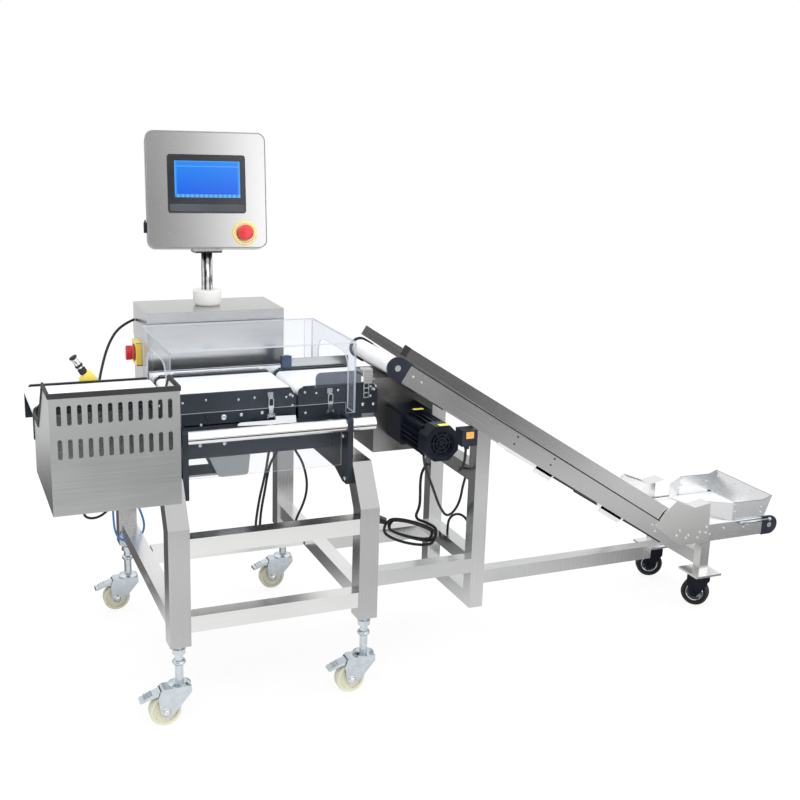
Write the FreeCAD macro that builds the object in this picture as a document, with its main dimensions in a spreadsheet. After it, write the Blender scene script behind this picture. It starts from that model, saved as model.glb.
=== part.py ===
import FreeCAD, Part
import math
import os
import Sketcher

# Checkweigher with an inclined infeed conveyor, a reject bin and a swivelling display.
# Millimetres, +Z up, X along the belts from the outfeed to the feeder, Y away from the operator.
# The origin is on the floor, under the middle of the whole machine.

# Driving dimensions. Heights are above the floor; places along X and Y are measured from the
# front left corner of the main frame, which frame_left and frame_front put in the model.
DIMENSIONS = {
    "frame_left": -814.4, "frame_front": -289,
    "leg_width": 50, "frame_width": 518.5, "frame_depth": 731, "leg_foot": 201,
    "knee_height": 492, "lean_depth": 63.5, "deck_height": 594,
    "rail_width": 40, "rail_recess": 2, "upper_rail_top": 467.5, "lower_rail_top": 274.5,
    "bearer_front": 462, "bearer_rear": 582,
    "castor_top": 105, "stem_radius": 10, "nut_radius": 16, "nut_height": 12,
    "pin_radius": 6, "pin_head_radius": 9, "bearing_radius": 27, "bearing_height": 4,
    "fork_top": 96, "fork_plate": 3, "fork_top_plate": 4, "wheel_clearance": 2,
    "wheel_radius": 37.5, "wheel_width": 28, "castor_trail": 36, "axle_radius": 5,
    "tread_depth": 7, "pedal_pivot_radius": 3,
    "tail_castor_trail": 8, "tail_wheel_radius": 41,
    "cross_rail_front": 440,
    "running_gap": 0.3, "bore_gap": 0.06,
    "flow_centre": 266, "belt_top": 763, "belt_width": 180, "belt_thickness": 1.6,
    "roller_radius": 12, "side_plate": 6, "side_gap": 5, "side_bottom": 690, "side_top": 767,
    "weigh_left": 50, "weigh_right": 355, "infeed_left": 362, "infeed_right": 572,
    "outfeed_left": -264, "outfeed_right": 43,
    "bracket_thickness": 14, "bracket_front": 60, "bracket_rear": 440, "bracket_bottom": 537,
    "bracket_column": 58, "bracket_top": 706, "beam_thickness": 8, "beam_top": 686,
    "beam_bottom": 606, "outer_beam_bottom": 640, "outfeed_beam_left": -235,
    "infeed_beam_right": 530, "floor_plate": 8,
    "tube_radius": 16, "tube_height": 686, "tube_right": 530,
    "skirt_bottom": 576, "skirt_top": 668, "skirt_thickness": 3, "skirt_front": 104,
    "cell_length": 130, "cell_width": 40, "cell_height": 40, "cell_left": 136,
    "pan_left": 140, "pan_right": 250, "pan_front": 200, "pan_rear": 300, "pan_depth": 64,
    "motor_drum_radius": 19.8, "motor_drum_height": 714.6,
    "cover_left": 34, "cover_right": 491, "cover_front": 109, "cover_rear": 437,
    "cover_top": 885, "cover_wall": 4, "cover_panel_bottom": 734, "cover_leg": 50,
    "guide_left": 405, "guide_right": 570, "guide_bottom": 760, "guide_height": 32,
    "guide_thickness": 3, "front_guide_right": 526, "front_guide_top": 800,
    "cabinet_left": 49, "cabinet_right": 412, "cabinet_front": 447, "cabinet_rear": 637,
    "cabinet_top": 913, "cabinet_wall": 2, "hinge_radius": 4, "hinge_knuckle": 22,
    "switch_y": 560, "switch_z": 790,
    "switch_plate": 62, "switch_depth": 14, "knob_radius": 19, "knob_length": 30,
    "column_x": 229, "column_y": 545, "column_radius": 14.5, "collar_radius": 37,
    "collar_foot_radius": 30, "collar_height": 42,
    "display_width": 308, "display_height": 299, "display_depth": 62, "display_corner": 22,
    "display_z": 1217.6, "display_turn": -8.9, "display_tilt": -10.3,
    "bezel_width": 198, "bezel_height": 148, "bezel_rise": 15, "bezel_thickness": 5,
    "estop_x": 95, "estop_z": -110, "estop_ring_radius": 29, "estop_radius": 20,
    "estop_stem_radius": 9,
    "bin_left": -262, "bin_right": 0, "bin_front": -155, "bin_back": 160, "bin_bottom": 613,
    "bin_top": 868, "bin_wall": 2, "bin_top_depth": 105, "bin_back_top": 752,
    "slot_count": 12, "slot_pitch": 20.2, "slot_width": 9, "slot_length": 42,
    "slot_first": 28, "slot_upper": 45, "slot_lower": 115, "bin_arm": 20,
    "nozzle_x": -112, "nozzle_radius": 8, "nozzle_length": 50, "nozzle_lean": -32,
    "feeder_width": 270, "incline_angle": 32.4, "incline_length": 1026.6,
    "knee_x": 1502.8, "feeder_height": 240, "flat_length": 332, "feeder_plate": 3,
    "feeder_half": 26, "feeder_roller": 20, "feeder_belt_half": 23, "feeder_belt_width": 256,
    "guard_head_low": 7, "guard_head_high": 34, "guard_knee_low": -6, "guard_knee_high": 45,
    "guard_reach": 44, "cap_thickness": 6, "cap_reach": 29, "cap_half": 29,
    "cover_flange": 42, "hopper_left": 1722, "hopper_low": 18, "hopper_high": 58, "hopper_flare": 24,
    "funnel_left": 1650, "funnel_inset": 46,
    "post_left": 833, "post_front": 108, "post_foot": 131, "mid_tube_top": 280,
    "high_tube_top": 524, "tongue_thickness": 3, "rail_notch": 105,
    "tail_post_x": 1640, "tail_front_y": 158, "tail_rear_y": 398, "tail_post_width": 31,
    "tail_plate": 90, "tail_plate_thickness": 6,
    "box_left": 576, "box_right": 742, "box_front": 196, "box_rear": 336, "box_bottom": 570,
    "motor_x": 658, "motor_z": 655, "gearbox_size": 88, "gearbox_depth": 84,
    "motor_radius": 44, "motor_length": 112, "cowl_length": 44, "fin_count": 20,
    "stator_core": 35, "grille_radius": 29,
    "latch_width": 14, "latch_height": 46, "latch_weigh_x": 290, "latch_infeed_x": 443,
    "latch_z": 701, "cord_radius": 3.5, "air_tube_radius": 3,
    "power_cord_radius": 4, "coil_x": 756, "coil_y": 334, "coil_z": 282, "coil_turn": -22,
    "coil_dip": 14, "coil_length": 152, "coil_height": 68, "coil_width": 38, "coil_strand": 18,
    "plug_length": 30, "plug_width": 22,
}

doc = FreeCAD.newDocument("Checkweigher")
sheet = doc.addObject("Spreadsheet::Sheet", "Sizes")
for row, (name, value) in enumerate(DIMENSIONS.items(), 1):
    sheet.set(f"A{row}", name)
    sheet.set(f"B{row}", str(value))
    sheet.setAlias(f"B{row}", name)
doc.recompute()

nodes = {}


class Size:
    """A size with its value and the sheet expression that gives it, so that sums keep both."""

    def __init__(self, value, text):
        self.value = value
        self.text = text

    def __add__(self, other):
        other = as_size(other)
        return Size(self.value + other.value, f"({self.text} + {other.text})")

    def __radd__(self, other):
        return as_size(other) + self

    def __sub__(self, other):
        other = as_size(other)
        return Size(self.value - other.value, f"({self.text} - {other.text})")

    def __rsub__(self, other):
        return as_size(other) - self

    def __mul__(self, other):
        other = as_size(other)
        return Size(self.value * other.value, f"({self.text} * {other.text})")

    def __rmul__(self, other):
        return as_size(other) * self

    def __truediv__(self, other):
        other = as_size(other)
        return Size(self.value / other.value, f"({self.text} / {other.text})")

    def __neg__(self):
        return Size(-self.value, f"(0 - {self.text})")


def as_size(value):
    if isinstance(value, Size):
        return value
    return Size(float(value), f"({float(value)})")


def sine(angle):
    return Size(math.sin(math.radians(angle.value)), f"sin({angle.text})")


def cosine(angle):
    return Size(math.cos(math.radians(angle.value)), f"cos({angle.text})")


def tangent(angle):
    return Size(math.tan(math.radians(angle.value)), f"tan({angle.text})")


class Sizes:
    """Every cell of the sheet as an attribute."""


size = Sizes()
for name, value in DIMENSIONS.items():
    setattr(size, name, Size(float(value), f"Sizes.{name}"))


# Drawing helpers. All places are given from the front left corner of the main frame.
def bind(thing, prop, value):
    thing.setExpression(prop, as_size(value).text)


def place(thing, x, y, z):
    bind(thing, "Placement.Base.x", x + size.frame_left)
    bind(thing, "Placement.Base.y", y + size.frame_front)
    bind(thing, "Placement.Base.z", as_size(z))
    return thing


def span(low, high):
    return (as_size(low), as_size(high))


def around(middle, width):
    return (middle - width / 2, middle + width / 2)


def box(x, y, z):
    """A block; x, y and z are its low and high places."""
    block = doc.addObject("Part::Box", "Block")
    for side, (low, high) in zip(("Length", "Width", "Height"), (x, y, z)):
        bind(block, side, as_size(high) - low)
    return place(block, as_size(x[0]), as_size(y[0]), z[0])


TURNS = {
    "x": FreeCAD.Rotation(FreeCAD.Vector(0, 1, 0), 90),
    "y": FreeCAD.Rotation(FreeCAD.Vector(1, 0, 0), -90),
    "z": FreeCAD.Rotation(),
}


def rod(axis, radius, along, a, b):
    """A round bar along one axis; a and b are its middle on the two other axes, in x, y, z order."""
    bar = doc.addObject("Part::Cylinder", "Bar")
    bind(bar, "Radius", radius)
    low, high = along
    bind(bar, "Height", as_size(high) - low)
    bar.Placement = FreeCAD.Placement(FreeCAD.Vector(), TURNS[axis])
    base = {"x": (low, a, b), "y": (a, low, b), "z": (a, b, low)}[axis]
    return place(bar, as_size(base[0]), as_size(base[1]), base[2])


def fuse(*shapes):
    joined = doc.addObject("Part::MultiFuse", "Joined")
    joined.Shapes = list(shapes)
    return joined


def group(*shapes):
    together = doc.addObject("Part::Compound", "Together")
    together.Links = list(shapes)
    return together


def cut(base, *tools):
    left = doc.addObject("Part::Cut", "Left")
    left.Base = base
    left.Tool = tools[0] if len(tools) == 1 else group(*tools)
    return left


def new_body(x=0, y=0, z=0, turn=None):
    body = doc.addObject("PartDesign::Body", "Piece")
    if turn is not None:
        body.Placement = FreeCAD.Placement(FreeCAD.Vector(), turn)
    return place(body, as_size(x), as_size(y), z)


# A sketch on YZ looks along +X, one on XZ looks along -Y, and one on XY looks along +Z.
# A feature that spans low to high starts at the end that the sketch's normal points away from.
def start_of(plane, along):
    low, high = as_size(along[0]), as_size(along[1])
    return -high if plane == "XZ" else low


def sketch_on(body, plane, offset):
    sketch = body.newObject("Sketcher::SketchObject", "Outline")
    role = f"{plane}_Plane"
    origin_plane = [part for part in body.Origin.OriginFeatures if part.Role == role][0]
    sketch.AttachmentSupport = [(origin_plane, "")]
    sketch.MapMode = "FlatFace"
    bind(sketch, "AttachmentOffset.Base.z", offset)
    return sketch


def pin_point(sketch, edge, end, x, y):
    for kind, value in (("DistanceX", as_size(x)), ("DistanceY", as_size(y))):
        rule = Sketcher.Constraint(kind, -1, 1, edge, end, value.value)
        index = sketch.addConstraint(rule)
        sketch.setExpression(f"Constraints[{index}]", value.text)


def draw_polygon(sketch, points):
    points = [(as_size(a), as_size(b)) for a, b in points]
    corners = [FreeCAD.Vector(a.value, b.value, 0) for a, b in points]
    first = sketch.GeometryCount
    count = len(points)
    for i in range(count):
        sketch.addGeometry(Part.LineSegment(corners[i], corners[(i + 1) % count]))
    for i in range(count):
        following = first + (i + 1) % count
        sketch.addConstraint(Sketcher.Constraint("Coincident", first + i, 2, following, 1))
    for i, (a, b) in enumerate(points):
        pin_point(sketch, first + i, 1, a, b)


def draw_circle(sketch, a, b, radius):
    a, b, radius = as_size(a), as_size(b), as_size(radius)
    centre = FreeCAD.Vector(a.value, b.value, 0)
    ring = sketch.addGeometry(Part.Circle(centre, FreeCAD.Vector(0, 0, 1), radius.value))
    pin_point(sketch, ring, 3, a, b)
    index = sketch.addConstraint(Sketcher.Constraint("Radius", ring, radius.value))
    sketch.setExpression(f"Constraints[{index}]", radius.text)


def draw_slot(sketch, a, b, length, width):
    """An upright slot with round ends about the point a, b."""
    a, b, length, width = as_size(a), as_size(b), as_size(length), as_size(width)
    r = width.value / 2
    half = length.value / 2 - r
    top = FreeCAD.Vector(a.value, b.value + half, 0)
    bottom = FreeCAD.Vector(a.value, b.value - half, 0)
    z = FreeCAD.Vector(0, 0, 1)
    right = FreeCAD.Vector(r, 0, 0)
    upper = sketch.addGeometry(Part.ArcOfCircle(Part.Circle(top, z, r), 0, math.pi))
    left_line = sketch.addGeometry(Part.LineSegment(top - right, bottom - right))
    lower = sketch.addGeometry(Part.ArcOfCircle(Part.Circle(bottom, z, r), math.pi, 2 * math.pi))
    right_line = sketch.addGeometry(Part.LineSegment(bottom + right, top + right))
    for rule in ((upper, 2, left_line, 1), (left_line, 2, lower, 1),
                 (lower, 2, right_line, 1), (right_line, 2, upper, 1)):
        sketch.addConstraint(Sketcher.Constraint("Tangent", *rule))
    pin_point(sketch, upper, 3, a, b + length / 2 - width / 2)
    pin_point(sketch, lower, 3, a, b - length / 2 + width / 2)
    index = sketch.addConstraint(Sketcher.Constraint("Radius", upper, r))
    sketch.setExpression(f"Constraints[{index}]", (width / 2).text)


def pad(body, plane, along, draw, *arguments):
    sketch = sketch_on(body, plane, start_of(plane, along))
    draw(sketch, *arguments)
    feature = body.newObject("PartDesign::Pad", "Solid")
    feature.Profile = sketch
    bind(feature, "Length", as_size(along[1]) - along[0])
    return feature


def pocket(body, plane, along, draw, *arguments):
    sketch = sketch_on(body, plane, start_of(plane, along))
    draw(sketch, *arguments)
    feature = body.newObject("PartDesign::Pocket", "Hollow")
    feature.Profile = sketch
    bind(feature, "Length", as_size(along[1]) - along[0])
    feature.Reversed = True
    return feature


# Which coordinates of a point lie on each sketch plane.
FLAT = {"YZ": (1, 2), "XZ": (0, 2), "XY": (0, 1)}


def round_corners(body, feature, plane, corners, radius):
    """Fillets the edges that run along the plane's normal through the given corners."""
    doc.recompute()
    wanted = [(as_size(a).value, as_size(b).value) for a, b in corners]
    first, second = FLAT[plane]
    names = []
    for number, edge in enumerate(feature.Shape.Edges, 1):
        ends = [(v.Point[first], v.Point[second]) for v in edge.Vertexes]
        if len(ends) < 2:
            continue
        for a, b in wanted:
            if all(abs(p - a) < 0.01 and abs(q - b) < 0.01 for p, q in ends):
                names.append(f"Edge{number}")
                break
    fillet = body.newObject("PartDesign::Fillet", "Round")
    fillet.Base = (feature, names)
    bind(fillet, "Radius", radius)
    return fillet


def profile(plane, points, along, rounds=()):
    """A piece of one section: a polygon on a plane, padded along the plane's normal."""
    body = new_body()
    feature = pad(body, plane, along, draw_polygon, points)
    for corners, radius in rounds:
        feature = round_corners(body, feature, plane, [points[i] for i in corners], radius)
    return body


def turned(points, axis, x, y, z, swing=FreeCAD.Rotation()):
    """A turned piece; points are radius and place along the axis, from the given middle."""
    body = new_body(x, y, z, swing.multiply(TURNS[axis]))
    sketch = sketch_on(body, "XZ", 0)
    draw_polygon(sketch, points)
    spin = body.newObject("PartDesign::Revolution", "Turned")
    spin.Profile = sketch
    spin.ReferenceAxis = (sketch, ["V_Axis"])
    spin.Angle = 360
    return body


def node(label, *shapes):
    piece = shapes[0] if len(shapes) == 1 else group(*shapes)
    piece.Label = label
    nodes[label] = piece
    return piece


# Main frame: bent square tube legs, rails and the bearers under the cabinet.
right_leg = size.frame_width - size.leg_width
rear_leg = size.frame_depth - size.leg_width
lean_rise = size.deck_height - size.knee_height
lean_angle = Size(math.degrees(math.atan2(size.lean_depth.value, lean_rise.value)),
                  f"atan({(size.lean_depth / lean_rise).text})")
miter = size.leg_width * tangent(lean_angle / 2)
LEG_FRONT = [
    (0, size.leg_foot), (size.leg_width, size.leg_foot),
    (size.leg_width, size.knee_height - miter),
    (size.lean_depth + size.leg_width / cosine(lean_angle)
     - size.leg_width * tangent(lean_angle), size.deck_height - size.leg_width),
    (size.lean_depth + size.leg_width / cosine(lean_angle), size.deck_height),
    (size.lean_depth, size.deck_height), (0, size.knee_height),
]
LEG_SPANS = (span(0, size.leg_width), span(right_leg, size.frame_width))


def frame_legs():
    fronts = [profile("YZ", LEG_FRONT, across) for across in LEG_SPANS]
    rears = [box(across, span(rear_leg, size.frame_depth), span(size.leg_foot, size.deck_height))
             for across in LEG_SPANS]
    node("frame_legs", *fronts, *rears)


def frame_rails():
    inner = span(size.leg_width, right_leg)
    front = span(size.rail_recess, size.rail_recess + size.rail_width)
    cross = span(size.cross_rail_front, size.cross_rail_front + size.rail_width)
    rail_inner = span(size.leg_width - size.rail_recess, right_leg + size.rail_recess)
    low = span(size.lower_rail_top - size.rail_width, size.lower_rail_top)
    high = span(size.upper_rail_top - size.rail_width, size.upper_rail_top)
    bearer = span(size.deck_height - size.rail_width, size.deck_height)
    pieces = [box(inner, front, low), box(inner, front, high), box(rail_inner, cross, low)]
    for y in (size.bearer_front, size.bearer_rear):
        pieces.append(box(inner, span(y, y + size.rail_width), bearer))
    for left, right in LEG_SPANS:
        side = around((left + right) / 2, size.rail_width)
        pieces.append(box(side, span(size.leg_width, rear_leg), low))
        top = [LEG_FRONT[3], (rear_leg, size.deck_height - size.leg_width),
               (rear_leg, size.deck_height), LEG_FRONT[4]]
        pieces.append(profile("YZ", top, (left, right)))
    node("frame_rails", *pieces)


# Swivel castors: a pin and bearing cap on the frame, a fork, a wheel and a brake pedal.
CASTORS = {
    "front_left": (size.leg_width / 2, size.leg_width / 2),
    "front_right": (size.frame_width - size.leg_width / 2, size.leg_width / 2),
    "rear_left": (size.leg_width / 2, size.frame_depth - size.leg_width / 2),
    "rear_right": (size.frame_width - size.leg_width / 2, size.frame_depth - size.leg_width / 2),
}
TAIL_CASTORS = {
    "tail_front": (size.tail_post_x, size.tail_front_y, -50),
    "tail_rear": (size.tail_post_x, size.tail_rear_y, -25),
}


def pin_points():
    """The king pin's head, shank and bearing cap, up to the castor's top."""
    head_top = size.fork_top - size.fork_top_plate - size.running_gap
    cap_low = size.fork_top + size.running_gap
    return [
        (0, head_top - 2.5), (size.pin_head_radius, head_top - 2.5),
        (size.pin_head_radius, head_top), (size.pin_radius, head_top),
        (size.pin_radius, cap_low), (size.bearing_radius, cap_low),
        (size.bearing_radius, cap_low + size.bearing_height),
        (size.bearing_radius * 0.7, size.castor_top),
    ]


def castor_stems():
    stems = []
    nut_low = size.leg_foot - 2 * size.nut_height
    for x, y in CASTORS.values():
        points = pin_points() + [
            (size.stem_radius, size.castor_top), (size.stem_radius, nut_low),
            (size.nut_radius, nut_low), (size.nut_radius, nut_low + size.nut_height),
            (size.stem_radius, nut_low + size.nut_height), (size.stem_radius, size.leg_foot),
            (0, size.leg_foot),
        ]
        stems.append(turned(points, "z", x, y, 0))
    node("castor_stems", *stems)


def castor(name, x, y, radius, trail, braked, heading=0):
    """A swivel castor under the point x, y; heading turns its trail away from -X."""
    swing = FreeCAD.Rotation(FreeCAD.Vector(0, 0, 1), heading)
    fork_half = size.wheel_width / 2 + size.wheel_clearance
    low = radius
    cheek = [
        (26, size.fork_top), (26, size.fork_top - 16), (4 - trail / 2, low - 4),
        (9 - trail, low - 13), (-9 - trail, low - 13), (-13 - trail, low + 2),
        (-18 - trail, size.fork_top - 26), (-12 - trail, size.fork_top - 6),
        (-4 - trail, size.fork_top),
    ]
    if not braked:
        cheek = [
            (30, size.fork_top), (30, size.fork_top - 22), (10 - trail, low - 8),
            (6 - trail, low - 13), (-6 - trail, low - 13), (-12 - trail, low - 4),
            (-32, size.fork_top - 22), (-32, size.fork_top),
        ]
    fork = new_body(x, y, 0, swing)
    solid = pad(fork, "XZ", span(-fork_half - size.fork_plate, fork_half + size.fork_plate),
                draw_polygon, cheek)
    round_corners(fork, solid, "XZ", [cheek[3], cheek[4]], 5)
    pocket(fork, "XZ", span(-fork_half, fork_half), draw_polygon, [
        (-90, 0), (60, 0), (60, size.fork_top - size.fork_top_plate),
        (-90, size.fork_top - size.fork_top_plate)])
    pocket(fork, "XY", span(size.fork_top - 10, size.fork_top + 1), draw_circle,
           0, 0, size.pin_radius + size.bore_gap)
    half_axle = fork_half + size.fork_plate + 5
    pad(fork, "XZ", span(-half_axle, half_axle), draw_circle, -trail, low, size.axle_radius)
    reach = -trail - 8
    top = size.fork_top - 12
    if braked:
        pad(fork, "XZ", span(-fork_half - 1, fork_half + 1), draw_circle, reach, top,
            size.pedal_pivot_radius)
    node(f"castor_fork_{name}", fork)
    bore = size.axle_radius + size.bore_gap
    rim = radius - size.tread_depth
    half = size.wheel_width / 2
    wheel = [
        (bore, -half - 1), (bore + 6, -half - 1), (bore + 7, -half + 5), (rim - 3, -half + 5),
        (rim, -half + 1), (radius - 2, -half), (radius, -half + 4),
        (radius, half - 4), (radius - 2, half), (rim, half - 1),
        (rim - 3, half - 5), (bore + 7, half - 5), (bore + 6, half + 1), (bore, half + 1),
    ]
    away = swing.multVec(FreeCAD.Vector(-1, 0, 0))
    hub = (x + trail * away.x, y + trail * away.y, radius)
    node(f"castor_wheel_{name}", turned(wheel, "y", *hub, swing))
    if not braked:
        return
    lever = [
        (reach + 5, top + 4), (reach - 4, top + 6), (reach - 22, top - 1), (reach - 27, top - 1),
        (reach - 28, top - 4), (reach - 34, top - 4), (reach - 35, top - 7),
        (reach - 41, top - 7), (reach - 42, top - 10), (reach - 50, top - 12),
        (reach - 52, top - 17), (reach - 48, top - 18), (reach - 20, top - 8),
        (reach + 2, top - 6), (reach + 6, top - 2),
    ]
    pedal = new_body(x, y, 0)
    pad(pedal, "XZ", span(-size.wheel_width / 2, size.wheel_width / 2), draw_polygon, lever)
    pocket(pedal, "XZ", span(-size.wheel_width, size.wheel_width), draw_circle,
           reach, top, size.pedal_pivot_radius + size.bore_gap)
    node(f"castor_pedal_{name}", pedal)


# Feeder stand: two posts, their cross tubes, rails to the main frame and to the tail castors.
incline = size.incline_angle
slope = tangent(incline)
half_bend = tangent(incline / 2)
feeder_front = size.flow_centre - size.feeder_width / 2
feeder_rear = size.flow_centre + size.feeder_width / 2
head_end_x = size.knee_x - size.incline_length * cosine(incline)
head_end_z = size.feeder_height + size.incline_length * sine(incline)
flat_right = size.knee_x + size.flat_length


def offset_line(distance):
    """Three points of the conveyor's middle line moved up by a distance: head end, knee, tail end."""
    return [
        (head_end_x + distance * sine(incline), head_end_z + distance * cosine(incline)),
        (size.knee_x + distance * half_bend, size.feeder_height + distance),
        (flat_right, size.feeder_height + distance),
    ]


def incline_height(x, distance):
    """Height of the sloped line that lies a distance above the middle line, at x."""
    knee_x, knee_z = offset_line(distance)[1]
    return knee_z + (knee_x - x) * slope


POST_ROWS = (
    span(size.post_front, size.post_front + size.rail_width),
    span(2 * size.flow_centre - size.post_front - size.rail_width,
         2 * size.flow_centre - size.post_front),
)
post_right = size.post_left + size.rail_width
rail_row = span(size.flow_centre - size.rail_width / 2, size.flow_centre + size.rail_width / 2)
tail_post = around(size.tail_post_x, size.tail_post_width)
TAIL_ROWS = (around(size.tail_front_y, size.tail_post_width),
             around(size.tail_rear_y, size.tail_post_width))


def stand_frame():
    pieces = []
    for row in POST_ROWS:
        top_left = incline_height(size.post_left, -size.feeder_half)
        top_right = incline_height(post_right, -size.feeder_half)
        post = [(size.post_left, size.post_foot), (post_right, size.post_foot),
                (post_right, top_right), (size.post_left, top_left)]
        pieces.append(profile("XZ", post, row))
        link = span(size.lower_rail_top - size.rail_width, size.lower_rail_top)
        side_rail_right = size.frame_width - (size.leg_width - size.rail_width) / 2
        pieces.append(box(span(side_rail_right, size.post_left), row, link))
    between = (POST_ROWS[0][1], POST_ROWS[1][0])
    across = span(size.post_left, post_right)
    for top in (size.post_foot + size.rail_width, size.mid_tube_top, size.high_tube_top):
        pieces.append(box(across, between, span(top - size.rail_width, top)))
    level = span(size.post_foot, size.post_foot + size.rail_width)
    notch = tail_post[0] - size.rail_notch
    tongue = span(level[1] - size.tongue_thickness, level[1])
    pieces.append(fuse(box(span(post_right, notch), rail_row, level),
                       box(span(post_right, tail_post[0]), rail_row, tongue)))
    pieces.append(box(tail_post, (TAIL_ROWS[0][1], TAIL_ROWS[1][0]), level))
    node("stand_frame", *pieces)


def tail_posts():
    pieces = []
    plate_top = size.castor_top + size.tail_plate_thickness
    for (x, y, _), row in zip(TAIL_CASTORS.values(), TAIL_ROWS):
        plate = box(around(x, size.tail_plate), around(y, size.tail_plate),
                    span(size.castor_top, plate_top))
        pin = turned(pin_points() + [(0, size.castor_top)], "z", x, y, 0)
        pieces.append(fuse(plate, pin))
        post_top = size.feeder_height - size.feeder_half
        pieces.append(box(tail_post, row, span(plate_top, post_top)))
    node("tail_posts", *pieces)


# Weighing deck: brackets on the frame's top rails, beams, front tube, skirt and load cell.
half_bed = size.belt_width / 2 + size.side_gap
plate_front = span(size.flow_centre - half_bed - size.side_plate, size.flow_centre - half_bed)
plate_rear = span(size.flow_centre + half_bed, size.flow_centre + half_bed + size.side_plate)
beam_front = span(plate_front[0], plate_front[0] + size.beam_thickness)
beam_rear = span(plate_rear[1] - size.beam_thickness, plate_rear[1])
BRACKETS = (span(size.leg_width, size.leg_width + size.bracket_thickness),
            span(right_leg - size.bracket_thickness, right_leg))
tube_y = size.bracket_front + size.bracket_column / 2 - 11


def bracket_plates():
    plates = []
    for across in BRACKETS:
        front, rear = size.bracket_front, size.bracket_rear
        column = front + size.bracket_column
        outline = [
            (front, size.bracket_bottom), (front + 36, size.bracket_bottom),
            (front + 90, size.bracket_bottom + 20), (rear, size.bracket_bottom + 20),
            (rear, size.bracket_top), (rear - 35, size.bracket_top), (rear - 35, size.beam_top),
            (column, size.beam_top), (column, size.bracket_top), (front, size.bracket_top),
        ]
        plate = profile("YZ", outline, across, [([0, 9], 8)])
        bore = rod("x", size.tube_radius + size.bore_gap,
                   span(across[0] - 1, across[1] + 1), tube_y, size.tube_height)
        plates.append(cut(plate, bore))
    node("bracket_plates", *plates)


def base_beams():
    inner = (BRACKETS[0][1], BRACKETS[1][0])
    left = (size.outfeed_beam_left, BRACKETS[0][0])
    right = (BRACKETS[1][1], size.infeed_beam_right)
    pieces = []
    for row in (beam_front, beam_rear):
        pieces.append(box(inner, row, span(size.beam_bottom, size.beam_top)))
        pieces.append(box(left, row, span(size.outer_beam_bottom, size.beam_top)))
        pieces.append(box(right, row, span(size.outer_beam_bottom, size.beam_top)))
    floor = span(size.beam_bottom, size.beam_bottom + size.floor_plate)
    pieces.append(box(inner, (beam_front[1], beam_rear[0]), floor))
    arm_top = size.bin_bottom - size.running_gap
    for x in (size.outfeed_beam_left, size.bin_right - 2 * size.bin_arm):
        side = [(-40, arm_top - 12), (-40, arm_top), (beam_rear[1], arm_top),
                (beam_rear[1], arm_top - 12)]
        arm = profile("YZ", side, span(x, x + size.bin_arm))
        drop = box(span(x, x + size.bin_arm), beam_front, span(arm_top, size.outer_beam_bottom))
        back = box(span(x, x + size.bin_arm), beam_rear, span(arm_top, size.outer_beam_bottom))
        pieces += [arm, drop, back]
    node("base_beams", *pieces)


def front_tube():
    node("front_tube", rod("x", size.tube_radius, span(size.leg_width, size.tube_right),
                           tube_y, size.tube_height))


def clear_skirt():
    inner = (BRACKETS[0][1], BRACKETS[1][0])
    node("clear_skirt", box(inner, span(size.skirt_front, size.skirt_front + size.skirt_thickness),
                            span(size.skirt_bottom, size.skirt_top)))


def load_cell():
    floor_top = size.beam_bottom + size.floor_plate
    row = around(size.flow_centre, size.cell_width)
    cell_low = floor_top + 6
    foot = box(span(size.cell_left, size.cell_left + 40), row, span(floor_top, cell_low))
    body = box(span(size.cell_left, size.cell_left + size.cell_length), row,
               span(cell_low, cell_low + size.cell_height))
    windows = [rod("y", 9, span(row[0] - 1, row[1] + 1), size.cell_left + x, cell_low + 20)
               for x in (50, 80)]
    slit = box(span(size.cell_left + 50, size.cell_left + 80), (row[0] - 1, row[1] + 1),
               span(cell_low + 17, cell_low + 23))
    riser_x = size.cell_left + size.cell_length
    riser = box(span(riser_x - 40, riser_x), row,
                span(cell_low + size.cell_height, size.side_bottom))
    pan_top = size.beam_bottom
    pan = profile("XZ", [
        (size.pan_left + 30, pan_top - size.pan_depth),
        (size.pan_right - 6, pan_top - size.pan_depth), (size.pan_right, pan_top),
        (size.pan_left, pan_top)], span(size.pan_front, size.pan_rear), [([0, 1], 10)])
    ledge = box(span(size.pan_left - 40, size.pan_left + 50),
                span(size.pan_front + 20, size.pan_rear),
                span(pan_top - size.pan_depth, pan_top - size.pan_depth + 5))
    node("load_cell", fuse(foot, cut(body, *windows, slit), riser), fuse(pan, ledge))


# Belt conveyors over the deck: side plates and slider bed, belt loop, rollers and drum motors.
roller_z = size.belt_top - size.belt_thickness - size.roller_radius - size.running_gap
loop_inner = size.roller_radius + size.running_gap
loop_outer = loop_inner + size.belt_thickness
bed_row = (plate_front[1], plate_rear[0])
belt_row = around(size.flow_centre, size.belt_width)
shaft_radius = 4


def conveyor_ends(left, right):
    """Middles of the two end rollers of a conveyor whose belt runs from left to right."""
    return left + loop_outer, right - loop_outer


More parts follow.
